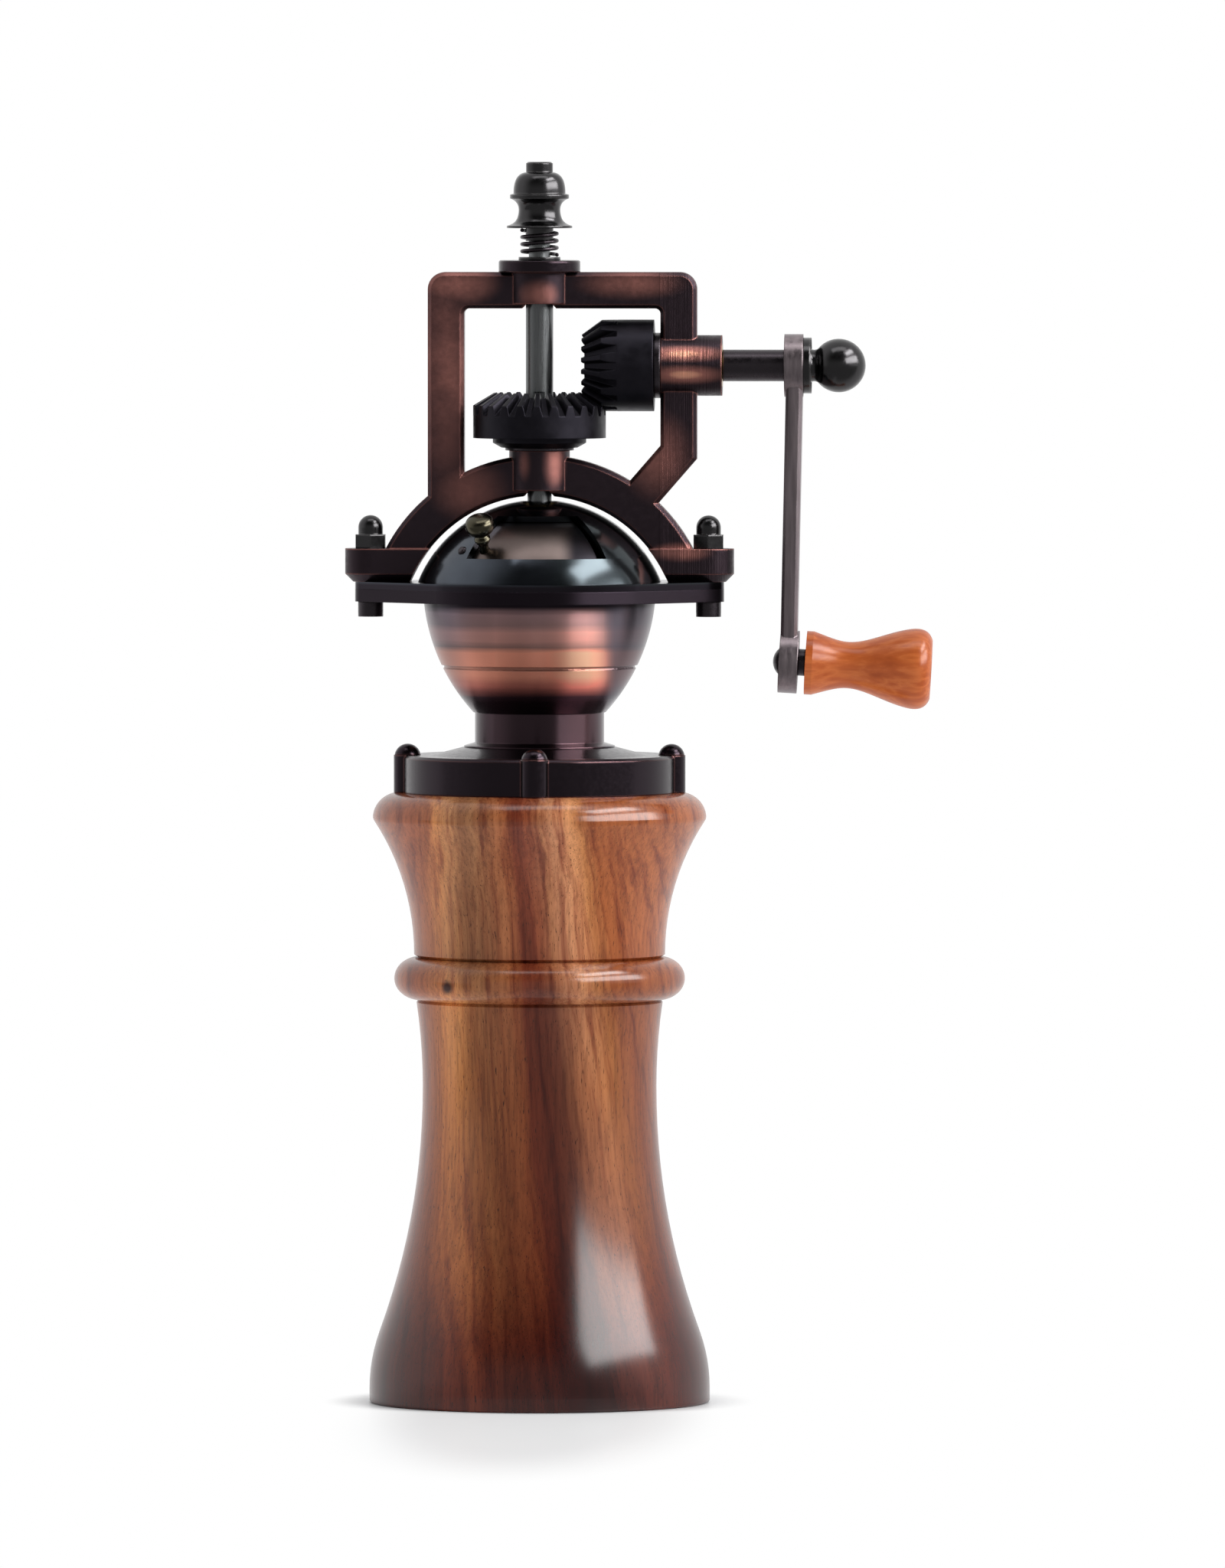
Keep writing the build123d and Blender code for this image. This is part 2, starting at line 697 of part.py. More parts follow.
with BuildPart() as frame:
    with BuildSketch(Plane.XZ) as yoke:
        with BuildLine():
            Polyline(
                (post_outer_left, ear_seat),
                (post_outer_left, bar_top),
                (post_outer_right, bar_top),
                (post_outer_right, brace_turn),
                (post_outer_right - brace_run * (brace_turn - ear_seat), ear_seat),
                close=True,
            )
        make_face()
        with BuildLine():
            Polyline(
                (post_inner_left, window_low),
                (post_inner_left, bar_bottom),
                (post_inner_right, bar_bottom),
                (post_inner_right, brace_inner_turn),
                (post_inner_right - brace_run * (brace_inner_turn - window_low), window_low),
                close=True,
            )
        make_face(mode=Mode.SUBTRACT)
        top_corners = yoke.vertices().group_by(Axis.Y)[-1]
        fillet(top_corners, yoke_corner)
        window_corners = yoke.vertices().sort_by_distance((post_inner_left, bar_bottom))[:1]
        window_corners += yoke.vertices().sort_by_distance((post_inner_right, bar_bottom))[:1]
        fillet(window_corners, window_corner)
        with Locations((0, arch_outer_centre)):
            Circle(arch_radius)
        with Locations((0, arch_inner_centre)):
            Circle(arch_inner_radius, mode=Mode.SUBTRACT)
        with Locations((0, ear_seat)):
            Rectangle(
                3 * arch_radius,
                2 * arch_radius,
                align=(Align.CENTER, Align.MAX),
                mode=Mode.SUBTRACT,
            )
    extrude(amount=frame_depth / 2, both=True)
    rims = frame.faces().filter_by(Axis.Y).edges().filter_by(
        lambda edge: edge.center().Z > ear_seat + frame_edge
    )
    chamfer(rims, frame_edge)
    with BuildSketch(Plane.XY.offset(ear_seat)) as ears:
        with Locations((ear_x, 0), (-ear_x, 0)):
            Circle(ear_radius)
        with Locations((ear_x - ear_inset / 2, 0), (-ear_x + ear_inset / 2, 0)):
            Rectangle(ear_inset, 2 * ear_radius)
    extrude(amount=ear_height)
    ear_ends = frame.edges().filter_by(GeomType.CIRCLE).group_by(Axis.Z)[0]
    chamfer(ear_ends, ear_edge)
    with BuildSketch(Plane.XY.offset(low_boss_bottom)):
        Circle(boss_radius)
    extrude(amount=low_boss_height)
    with BuildSketch(Plane.XY.offset(bar_top)):
        Circle(boss_radius)
    extrude(amount=-top_boss_height)
    with BuildSketch(across_crank(post_inner_right)):
        Circle(boss_radius)
    extrude(amount=side_boss_end - post_inner_right)
    with BuildSketch(Plane.XZ):
        with Locations((0, arch_inner_centre)):
            Circle(arch_inner_radius)
    extrude(amount=2 * ear_radius, both=True, mode=Mode.SUBTRACT)
    with BuildSketch(Plane.XY.offset(ear_seat)):
        with Locations((ear_x, 0), (-ear_x, 0)):
            Circle(ear_hole_radius)
    extrude(amount=ear_height, mode=Mode.SUBTRACT)
    with BuildSketch(Plane.XY.offset(low_boss_top)):
        Circle(low_bush_radius + seat_gap)
    extrude(amount=-2 * low_boss_height, mode=Mode.SUBTRACT)
    with BuildSketch(Plane.XY.offset(bar_top)):
        Circle(top_bush_radius + seat_gap)
    extrude(amount=-2 * post_width, mode=Mode.SUBTRACT)
    with BuildSketch(across_crank(post_inner_right)):
        Circle(crank_bush_radius + seat_gap)
    extrude(amount=side_boss_end - post_inner_right, mode=Mode.SUBTRACT)

# ================================================================ fasteners through the ears
ear_screw_foot = bowl_rim - ear_screw_head_height
nut_bore_top = ear_top + nut_bore_depth

with BuildPart() as frame_screw:
    with BuildSketch(Plane.XY.offset(ear_screw_foot)):
        Circle(ear_screw_head)
    extrude(amount=ear_screw_head_height)
    with BuildSketch(Plane.XY.offset(ear_screw_foot)):
        Rectangle(2 * ear_screw_head, slot_width)
    extrude(amount=slot_depth, mode=Mode.SUBTRACT)
    with BuildSketch(Plane.XY.offset(bowl_rim)):
        Circle(ear_screw_radius)
    extrude(amount=nut_bore_top - end_gap - bowl_rim)

with BuildPart() as frame_screws:
    with PolarLocations(ear_x, 2):
        add(frame_screw.part)

with BuildPart() as acorn_nut:
    with BuildSketch(Plane.XY.offset(ear_top)):
        RegularPolygon(nut_flats / 2, 6, major_radius=False, rotation=30)
    extrude(amount=nut_hex_height)
    with BuildSketch(Plane.XZ):
        with BuildLine():
            dome_foot = ear_top + nut_hex_height + nut_dome_wall
            up = Polyline(
                (0, ear_top), (nut_dome_radius, ear_top), (nut_dome_radius, dome_foot)
            )
            cap = CenterArc((0, dome_foot), nut_dome_radius, 0, 90)
            Line(cap @ 1, up @ 0)
        make_face()
    revolve(axis=Axis.Z)
    with BuildSketch(Plane.XY.offset(ear_top)):
        Circle(ear_screw_radius + seat_gap)
    extrude(amount=nut_bore_depth, mode=Mode.SUBTRACT)

with BuildPart() as acorn_nuts:
    with PolarLocations(ear_x, 2):
        add(acorn_nut.part)

# ================================================================ bushes and washers
low_bore_radius = low_shaft_radius + running_gap
top_bore_radius = shaft_radius + running_gap

lower_bush = ring(
    Plane.XY.offset(low_boss_bottom), low_bush_radius, low_bore_radius, low_boss_height
)
gear_washer = ring(
    Plane.XY.offset(low_boss_top),
    gear_washer_radius,
    shaft_radius + washer_gap,
    gear_washer_height,
)
spring_washer = ring(
    Plane.XY.offset(top_collar_top),
    spring_washer_radius,
    thread_radius + washer_gap,
    spring_washer_height,
)
crank_bush = ring(
    across_crank(post_inner_right),
    crank_bush_radius,
    journal_radius + running_gap,
    side_boss_end - post_inner_right,
)
crank_washer = ring(
    across_crank(pinion_end + end_gap),
    crank_washer_radius,
    journal_radius + running_gap,
    crank_washer_height,
)

with BuildPart() as top_bush:
    with BuildSketch(Plane.XY.offset(bar_top - top_boss_height)):
        Circle(top_bush_radius)
    extrude(amount=top_boss_height)
    with BuildSketch(Plane.XY.offset(bar_top)):
        Circle(top_collar_radius)
    extrude(amount=top_collar_height)
    fillet(top_bush.edges().group_by(Axis.Z)[-1], collar_edge)
    with BuildSketch(Plane.XY.offset(top_collar_top)):
        Circle(top_bore_radius)
    extrude(amount=-top_collar_height - top_boss_height, mode=Mode.SUBTRACT)

coil_height = spring_length - 2 * wire_radius
with BuildPart() as adjuster_spring:
    with BuildLine():
        coil = Helix(
            pitch=coil_height / spring_turns,
            height=coil_height,
            radius=spring_radius,
            center=(0, 0, spring_seat + wire_radius),
        )
    with BuildSketch(Plane(origin=coil @ 0, z_dir=coil % 0)):
        Circle(wire_radius - end_gap / 2)
    sweep()

# ================================================================ bevel gears
# Both gears share one apex, where their axes cross. A tooth gap is lofted between two sections
# that lie square to the line where the pitch cones touch.
base_turn = radians(pressure_angle)
mesh_line = Vector(sin(gear_cone), 0, -cos(gear_cone))


def tooth_gap(cone, scale, x_dir):
    """The gap between two teeth, in a section at a scale from the apex."""
    pitch = cone_length * tan(cone)
    base = pitch * cos(base_turn)

    def edge(radius, side):
        """A point on the gap's side, at a radius from the centre of the virtual gear."""
        roll = acos(min(1, base / radius))
        half = (pi * gear_module + backlash) / (4 * pitch)
        half += (tan(roll) - roll) - (tan(base_turn) - base_turn)
        return (
            side * scale * radius * sin(half),
            scale * (radius * cos(half) - pitch),
        )

    root = pitch - dedendum * gear_module
    over = pitch + (2 * addendum) * gear_module
    section = Plane(
        origin=Vector(0, 0, crank_height) + mesh_line * cone_length * scale,
        x_dir=x_dir,
        z_dir=mesh_line,
    )
    with BuildSketch(section) as outline:
        with BuildLine():
            ThreePointArc(edge(root, -1), edge(pitch, -1), edge(over, -1))
            Line(edge(over, -1), edge(over, 1))
            ThreePointArc(edge(over, 1), edge(pitch, 1), edge(root, 1))
            Line(edge(root, 1), edge(root, -1))
        make_face()
    return outline.sketch


def gap_cutter(cone, x_dir):
    """One tooth gap, long enough to run out of the gear at both ends."""
    pitch_radius = cone_length * sin(cone)
    tip_radius = pitch_radius + addendum * gear_module * cos(cone)
    root_radius = pitch_radius - dedendum * gear_module * cos(cone)
    with BuildPart() as cutter:
        add(tooth_gap(cone, inner_scale * cutter_run_in, x_dir))
        add(tooth_gap(cone, cutter_run_out * tip_radius / root_radius, x_dir))
        loft()
    return cutter.part


# the mesh end of each gear's face: outwards and inwards along its teeth
gear_face_in = inner_scale * (gear_pitch_radius - hub_step * cos(gear_cone))
gear_face_top = crank_height - inner_scale * (pinion_pitch_radius + hub_step * sin(gear_cone))
gear_tip_depth = pinion_pitch_radius - addendum * gear_module * sin(gear_cone)

with BuildPart() as drive_gear:
    with BuildSketch(Plane.XZ):
        with BuildLine():
            Polyline(
                (0, gear_seat),
                (gear_collar_foot, gear_seat),
                (gear_collar_radius, gear_seat + gear_collar_height / 2),
                (gear_collar_radius, gear_rim_bottom),
                (gear_tip_radius, gear_rim_bottom),
                (gear_tip_radius, crank_height - gear_tip_depth),
                (gear_tip_radius * inner_scale, crank_height - gear_tip_depth * inner_scale),
                (gear_face_in, gear_face_top),
                (0, gear_face_top),
                close=True,
            )
        make_face()
    revolve(axis=Axis.Z)
    gear_gap = gap_cutter(gear_cone, (0, 1, 0))
    with PolarLocations(0, gear_teeth, start_angle=180 / gear_teeth):
        add(gear_gap, mode=Mode.SUBTRACT)
    with BuildSketch(Plane.XY.offset(gear_seat)):
        Circle(shaft_radius + seat_gap)
        Rectangle(2 * shaft_radius, 2 * (flat_half + seat_gap), mode=Mode.INTERSECT)
    extrude(amount=gear_face_top - gear_seat, mode=Mode.SUBTRACT)

pinion_face_in = inner_scale * (pinion_pitch_radius - hub_step * cos(pinion_cone))
pinion_face_start = inner_scale * (gear_pitch_radius + hub_step * sin(pinion_cone))
pinion_tip_place = gear_pitch_radius - addendum * gear_module * sin(pinion_cone)
grub_x = pinion_end - grub_inset

with BuildPart() as pinion:
    with BuildSketch(crank_profile):
        with BuildLine():
            Polyline(
                (pinion_face_start, journal_radius + seat_gap),
                (pinion_face_start, pinion_face_in),
                (pinion_tip_place * inner_scale, pinion_tip_radius * inner_scale),
                (pinion_tip_place, pinion_tip_radius),
                (pinion_end, pinion_tip_radius),
                (pinion_end, journal_radius + seat_gap),
                close=True,
            )
        make_face()
    revolve(axis=crank_axis)
    pinion_gap = gap_cutter(pinion_cone, (0, -1, 0))
    for tooth in range(pinion_teeth):
        add(pinion_gap.rotate(crank_axis, tooth * 360 / pinion_teeth), mode=Mode.SUBTRACT)
    with BuildSketch(Plane.XZ):
        with Locations((grub_x, crank_height)):
            Circle(grub_radius + seat_gap)
    extrude(amount=-pinion_tip_radius, mode=Mode.SUBTRACT)

with BuildPart() as pinion_screw:
    grub_end = pinion_tip_radius - grub_recess
    with BuildSketch(Plane.XZ.offset(-grub_end)):
        with Locations((grub_x, crank_height)):
            Circle(grub_radius)
    extrude(amount=grub_end - journal_radius)
    with BuildSketch(Plane.XZ.offset(-grub_end)):
        with Locations((grub_x, crank_height)):
            RegularPolygon(grub_radius / 2, 6)
    extrude(amount=grub_radius, mode=Mode.SUBTRACT)

# ================================================================ vertical shaft
hub_clear = shaft_travel / 2  # the wide flats start this far over the gear's seat


def double_flat(plane, radius, half_flat):
    """A round section with two flats, which drives whatever has the same hole."""
    with BuildSketch(plane) as section:
        Circle(radius)
        Rectangle(2 * radius, 2 * half_flat, mode=Mode.INTERSECT)
    return section.sketch


wide_flats_foot = gear_seat + hub_clear
wide_flats_top = gear_face_top + shaft_travel + hub_clear
shaft_shoulder = top_collar_top - shaft_travel - end_gap
shaft_top = lip_height + finial_bore_depth - finial_stem_length - shaft_travel - end_gap
shaft_bottom = rotor_nut_bottom - thread_tail

with BuildPart() as drive_shaft:
    with BuildSketch(Plane.XY.offset(shaft_bottom)):
        Circle(rotor_thread_radius)
    extrude(amount=rotor_bottom - shaft_bottom)
    rotor_flats = double_flat(
        Plane.XY.offset(rotor_bottom), low_shaft_radius, rotor_flat_half
    )
    extrude(rotor_flats, amount=rotor_top - rotor_bottom)
    with BuildSketch(Plane.XY.offset(rotor_top)):
        Circle(low_shaft_radius)
    extrude(amount=wide_flats_foot - rotor_top)
    gear_flats = double_flat(Plane.XY.offset(wide_flats_foot), shaft_radius, flat_half)
    extrude(gear_flats, amount=wide_flats_top - wide_flats_foot)
    with BuildSketch(Plane.XY.offset(wide_flats_top)):
        Circle(shaft_radius)
    extrude(amount=shaft_shoulder - wide_flats_top)
    with BuildSketch(Plane.XY.offset(shaft_shoulder)):
        Circle(thread_radius)
    extrude(amount=shaft_top - shaft_shoulder)
    chamfer(drive_shaft.edges().group_by(Axis.Z)[-1], thread_radius / 5)
    chamfer(drive_shaft.edges().group_by(Axis.Z)[0], rotor_thread_radius / 5)

with BuildPart() as finial:
    with BuildSketch(Plane(origin=(0, 0, lip_height), x_dir=(1, 0, 0), z_dir=(0, -1, 0))):
        with BuildLine():
            under = Polyline(
                (0, -finial_stem_length),
                (finial_stem_radius, -finial_stem_length),
                (finial_stem_radius, 0),
                (finial_lip_radius, 0),
                (finial_lip_radius, finial_lip_height),
            )
            vase = Spline(
                under @ 1,
                (finial_vase_radius, finial_vase_place),
                (finial_rim_radius, finial_rim_place),
                tangents=[(-1, 0.25), (1, 0.35)],
            )
            crown_foot = finial_rim_place + finial_rim_height
            step = Polyline(
                vase @ 1,
                (finial_rim_radius, crown_foot),
                (finial_crown_radius, crown_foot + finial_lip_height / 2),
            )
            crown = Spline(
                step @ 1,
                (finial_button_radius, finial_button_foot),
                tangents=[(0, 1), (-1, 0.15)],
            )
            button = Polyline(
                crown @ 1,
                (finial_button_radius, finial_height - 2 * finial_lip_height / 3),
                (finial_button_radius - finial_lip_height, finial_height),
                (0, finial_height),
            )
            Line(button @ 1, under @ 0)
        make_face()
    revolve(axis=Axis.Z)
    with BuildSketch(Plane.XY.offset(lip_height - finial_stem_length)):
        Circle(thread_radius + running_gap)
    extrude(amount=finial_bore_depth, mode=Mode.SUBTRACT)

# ================================================================ burr set
bridge_outer = burr_seat_radius - seat_gap

with BuildPart() as guide_bridge:
    with BuildSketch(Plane.XY.offset(stator_top)):
        Circle(bridge_outer)
        Circle(burr_seat_radius - bridge_rim, mode=Mode.SUBTRACT)
        with PolarLocations(burr_seat_radius / 2, spoke_count):
            Rectangle(burr_seat_radius - bridge_rim / 2, bridge_spoke)
        Circle(bridge_hub)
        Circle(low_bore_radius, mode=Mode.SUBTRACT)
    extrude(amount=bridge_height)


def groove(low, high, twist):
    """A square cutter laid on its edge along a cone, from a low to a high (radius, height)."""
    along = Vector(high[0] - low[0], 0, high[1] - low[1])
    reach = along.length / cos(radians(twist))
    lean = along.normalized() * cos(radians(twist)) + Vector(0, sin(radians(twist)), 0)
    start = Vector((low[0] + high[0]) / 2, 0, (low[1] + high[1]) / 2)
    with BuildPart() as cutter:
        with BuildSketch(Plane(origin=start, x_dir=(0, 1, 0), z_dir=lean)):
            RegularPolygon(tooth_groove, 4)
        extrude(amount=reach / 2, both=True)
    return cutter.part


fine_top = outlet_depth + fine_height
rotor_fine_top = (stator_throat - burr_gap, fine_top)
rotor_fine_foot = (stator_outlet - burr_gap, outlet_depth)
rotor_crown = (rotor_neck, rotor_top)

with BuildPart() as stator_burr:
    with BuildSketch(Plane.XZ):
        with BuildLine():
            Polyline(
                (stator_outlet, outlet_depth),
                (bridge_outer, outlet_depth),
                (bridge_outer, stator_top),
                (stator_mouth, stator_top),
                (stator_throat, fine_top),
                close=True,
            )
        make_face()
    revolve(axis=Axis.Z)
    wide_groove = groove((stator_throat, fine_top), (stator_mouth, stator_top), -groove_twist)
    fine_groove = groove((stator_outlet, outlet_depth), (stator_throat, fine_top), -groove_twist)
    with PolarLocations(0, stator_groove_count):
        add(wide_groove, mode=Mode.SUBTRACT)
        add(fine_groove, mode=Mode.SUBTRACT)

with BuildPart() as rotor_burr:
    with BuildSketch(Plane.XZ):
        with BuildLine():
            Polyline(
                (0, rotor_bottom),
                (rotor_fine_foot[0], rotor_bottom),
                rotor_fine_foot,
                rotor_fine_top,
                rotor_crown,
                (0, rotor_top),
                close=True,
            )
        make_face()
    revolve(axis=Axis.Z)
    wide_tooth = groove(rotor_fine_top, rotor_crown, groove_twist)
    fine_tooth = groove(rotor_fine_foot, rotor_fine_top, groove_twist)
    with PolarLocations(0, rotor_groove_count):
        add(wide_tooth, mode=Mode.SUBTRACT)
        add(fine_tooth, mode=Mode.SUBTRACT)
    rotor_hole = double_flat(
        Plane.XY.offset(rotor_bottom),
        low_shaft_radius + seat_gap,
        rotor_flat_half + seat_gap,
    )
    extrude(rotor_hole, amount=rotor_top - rotor_bottom, mode=Mode.SUBTRACT)

rotor_washer = ring(
    Plane.XY.offset(rotor_nut_top),
    rotor_washer_radius,
    rotor_thread_radius + seat_gap,
    rotor_washer_height,
)

with BuildPart() as rotor_nut:
    with BuildSketch(Plane.XY.offset(rotor_nut_bottom)):
        RegularPolygon(rotor_nut_flats / 2, 6, major_radius=False)
        Circle(rotor_thread_radius + seat_gap, mode=Mode.SUBTRACT)
    extrude(amount=rotor_nut_height)

plate_head_sink = plate_screw_head - plate_screw_radius


def countersunk(radius_gap, low, high):
    """A flat-headed screw, or its hole, on the mill's axis with its head downwards."""
    with BuildPart() as piece:
        with BuildSketch(Plane.XZ):
            with BuildLine():
                Polyline(
                    (0, low),
                    (plate_screw_head + radius_gap, low),
                    (plate_screw_radius + radius_gap, low + plate_head_sink),
                    (plate_screw_radius + radius_gap, high),
                    (0, high),
                    close=True,
                )
            make_face()
        revolve(axis=Axis.Z)
    return piece.part


plate_hole = countersunk(seat_gap, plate_bottom, outlet_depth)
plate_screw = countersunk(0, plate_bottom, outlet_depth + plate_screw_depth)

with BuildPart() as retainer_plate:
    with BuildSketch(Plane.XY.offset(plate_bottom)):
        Circle(outlet_radius - plate_gap)
        Circle(plate_bore, mode=Mode.SUBTRACT)
    extrude(amount=plate_thickness)
    with PolarLocations(plate_screw_circle, plate_screw_count, start_angle=90):
        add(plate_hole, mode=Mode.SUBTRACT)

with BuildPart() as plate_screws:
    with PolarLocations(plate_screw_circle, plate_screw_count, start_angle=90):
        add(plate_screw)
    with BuildSketch(Plane.XY.offset(plate_bottom)):
        with PolarLocations(plate_screw_circle, plate_screw_count, start_angle=90):
            Rectangle(2 * plate_screw_head, slot_width / 2)
    extrude(amount=slot_depth, mode=Mode.SUBTRACT)

# ================================================================ crank
with BuildPart() as crank_shaft:
    with BuildSketch(crank_profile):
        with BuildLine():
            Polyline(
                (pinion_face_start, 0),
                (pinion_face_start, journal_radius),
                (side_boss_end + end_gap, journal_radius),
                (side_boss_end + end_gap, crank_shaft_radius),
                (arm_inner, crank_shaft_radius),
                (arm_inner, tang_radius),
                (arm_outer, tang_radius),
                (arm_outer, ball_thread_radius),
                (arm_outer + ball_thread_length, ball_thread_radius),
                (arm_outer + ball_thread_length, 0),
                close=True,
            )
        make_face()
    revolve(axis=crank_axis)

arm_out = Vector(cos(radians(arm_lean)), 0, -sin(radians(arm_lean)))
arm_plane = Plane(origin=(arm_outer, 0, crank_height), x_dir=(0, 1, 0), z_dir=arm_out)
pin_out = Vector(cos(radians(pin_droop)), 0, -sin(radians(pin_droop)))
pin_centre = arm_plane.from_local_coords((0, -arm_throw, -arm_thickness / 2))
pin_profile = Plane(origin=pin_centre, x_dir=pin_out, z_dir=(0, -1, 0))
pin_axis = Axis(pin_centre, pin_out)
eye_face = arm_eye_thickness / 2  # from the middle of the lower eye to each side

with BuildPart() as crank_arm:
    with BuildSketch(arm_plane):
        with BuildLine():
            Polyline(
                (-arm_width_top / 2, 0),
                (arm_width_top / 2, 0),
                (arm_width_bottom / 2, -arm_throw),
                (-arm_width_bottom / 2, -arm_throw),
                close=True,
            )
        make_face()
    extrude(amount=-arm_thickness)
    chamfer(crank_arm.edges(), arm_edge)
    with BuildSketch(across_crank(arm_inner)):
        Circle(arm_eye_radius)
    extrude(amount=arm_eye_thickness)
    with BuildSketch(Plane(origin=pin_centre, x_dir=(0, 1, 0), z_dir=pin_out)):
        Circle(arm_eye_radius)
    extrude(amount=eye_face, both=True)
    with BuildSketch(across_crank(arm_inner)):
        Circle(tang_radius + seat_gap)
    extrude(amount=2 * arm_eye_thickness, both=True, mode=Mode.SUBTRACT)
    with BuildSketch(Plane(origin=pin_centre, x_dir=(0, 1, 0), z_dir=pin_out)):
        Circle(pin_radius + seat_gap)
    extrude(amount=2 * eye_face, both=True, mode=Mode.SUBTRACT)

with BuildPart() as ball_knob:
    with BuildSketch(Plane(origin=(arm_outer, 0, crank_height), x_dir=(1, 0, 0), z_dir=(0, -1, 0))):
        with BuildLine():
            flat = Polyline(
                (0, 0),
                (0, ball_collar_radius),
                (ball_collar_length, ball_collar_radius),
            )
            join_angle = radians(180 - ball_join)
            join = (
                ball_place + ball_radius * cos(join_angle),
                ball_radius * sin(join_angle),
            )
            neck = ThreePointArc(flat @ 1, (ball_neck_place, ball_neck_radius), join)
            ball = CenterArc((ball_place, 0), ball_radius, 180 - ball_join, ball_join - 180)
            Line(ball @ 1, flat @ 0)
        make_face()
    revolve(axis=crank_axis)
    with BuildSketch(across_crank(arm_outer)):
        Circle(ball_thread_radius + seat_gap)
    extrude(amount=ball_thread_length + end_gap, mode=Mode.SUBTRACT)

grip_start = eye_face + grip_stand
grip_finish = grip_start + grip_length
head_place = grip_finish - pin_head_sink + pin_head_gap

with BuildPart() as handle_pin:
    with BuildSketch(pin_profile):
        with BuildLine():
            cap = round_cap(Vector(-eye_face, 0), rivet_cap_radius, rivet_cap_height, 180)
            Polyline(
                cap @ 0,
                (-eye_face, pin_radius),
                (eye_face, pin_radius),
                (eye_face, rivet_cap_radius),
                (grip_start - end_gap, rivet_cap_radius),
                (grip_start - end_gap, pin_radius),
                (head_place, pin_radius),
                (head_place, pin_head_radius),
                (head_place + pin_head_height, pin_head_radius - grip_edge),
                (head_place + pin_head_height, 0),
                cap @ 1,
            )
        make_face()
    revolve(axis=pin_axis)

with BuildPart() as grip:
    with BuildSketch(pin_profile) as grip_section:
        with BuildLine():
            flange = Polyline(
                (grip_start, pin_radius + running_gap),
                (grip_start, grip_flange_radius),
                (grip_start + grip_flange_width, grip_flange_radius),
            )
            side = Spline(
                flange @ 1,
                (grip_start + grip_waist_place, grip_waist_radius),
                (grip_start + grip_bulb_place, grip_bulb_radius),
                (grip_finish, grip_end_radius),
                tangents=[(1, -0.3), (0.35, -1)],
            )
            Polyline(
                side @ 1,
                (grip_finish, pin_head_radius + pin_head_gap),
                (grip_finish - pin_head_sink, pin_head_radius + pin_head_gap),
                (grip_finish - pin_head_sink, pin_radius + running_gap),
                flange @ 0,
            )
        make_face()
        flange_corner = grip_section.vertices().sort_by_distance(
            pin_profile.from_local_coords((grip_start, grip_flange_radius))
        )
        fillet(flange_corner[0], grip_edge)
    revolve(axis=pin_axis)

# ================================================================ one file for each piece
pieces = {
    "wood_body": wood_body,
    "collar_ring": collar_ring,
    "collar_screws": collar_screws,
    "bowl": bowl,
    "dome_seat": dome_seat,
    "dome": dome,
    "shutter": shutter,
    "shutter_knob": shutter_knob,
    "stop_rivet": stop_rivet,
    "dome_bush": dome_bush,
    "shutter_clip": shutter_clip,
    "frame": frame,
    "frame_screws": frame_screws,
    "acorn_nuts": acorn_nuts,
    "lower_bush": lower_bush,
    "gear_washer": gear_washer,
    "top_bush": top_bush,
    "spring_washer": spring_washer,
    "adjuster_spring": adjuster_spring,
    "finial": finial,
    "drive_shaft": drive_shaft,
    "drive_gear": drive_gear,
    "pinion": pinion,
    "pinion_screw": pinion_screw,
    "crank_bush": crank_bush,
    "crank_washer": crank_washer,
    "crank_shaft": crank_shaft,
    "crank_arm": crank_arm,
    "ball_knob": ball_knob,
    "handle_pin": handle_pin,
    "grip": grip,
    "guide_bridge": guide_bridge,
    "stator_burr": stator_burr,
    "rotor_burr": rotor_burr,
    "rotor_washer": rotor_washer,
    "rotor_nut": rotor_nut,
    "retainer_plate": retainer_plate,
    "plate_screws": plate_screws,
}

os.makedirs("parts", exist_ok=True)
for name, piece in pieces.items():
    piece.part.label = name
    export_step(piece.part, f"parts/{name}.step")
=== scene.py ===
# %% [markdown]
# # A hand-cranked burr mill
# A turned walnut body stands on its foot and carries a small metal head: a lugged collar, a copper
# bowl, a dark dome with a filling door, and an arched yoke that holds two bevel gears, a crank and
# an adjusting finial. Every piece arrives as a finished solid with its true shape. This notebook
# gives each of them the finish of its own material, sets the mill on a white sheet and lights it
# from two soft windows and a strip overhead.

# %% Load the solids
import math

import bpy
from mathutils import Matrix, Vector


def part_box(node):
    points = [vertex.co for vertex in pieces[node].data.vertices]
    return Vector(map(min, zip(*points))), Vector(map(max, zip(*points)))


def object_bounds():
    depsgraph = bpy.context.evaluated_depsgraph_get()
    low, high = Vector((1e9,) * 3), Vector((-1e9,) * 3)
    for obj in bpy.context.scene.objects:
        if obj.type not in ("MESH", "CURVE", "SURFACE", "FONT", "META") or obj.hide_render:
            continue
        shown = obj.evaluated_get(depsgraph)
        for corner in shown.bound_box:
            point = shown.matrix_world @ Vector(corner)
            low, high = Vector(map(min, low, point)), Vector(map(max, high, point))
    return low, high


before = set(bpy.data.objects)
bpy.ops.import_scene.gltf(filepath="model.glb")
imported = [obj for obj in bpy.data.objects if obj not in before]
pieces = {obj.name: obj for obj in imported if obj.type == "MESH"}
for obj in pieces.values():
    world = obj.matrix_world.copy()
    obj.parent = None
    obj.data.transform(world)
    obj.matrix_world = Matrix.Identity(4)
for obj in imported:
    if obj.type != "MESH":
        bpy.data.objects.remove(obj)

MM = 1000.0  # millimetres in a metre
cad_low, cad_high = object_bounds()
print(len(pieces), "solids, height", round(cad_high.z * MM, 1), "mm")

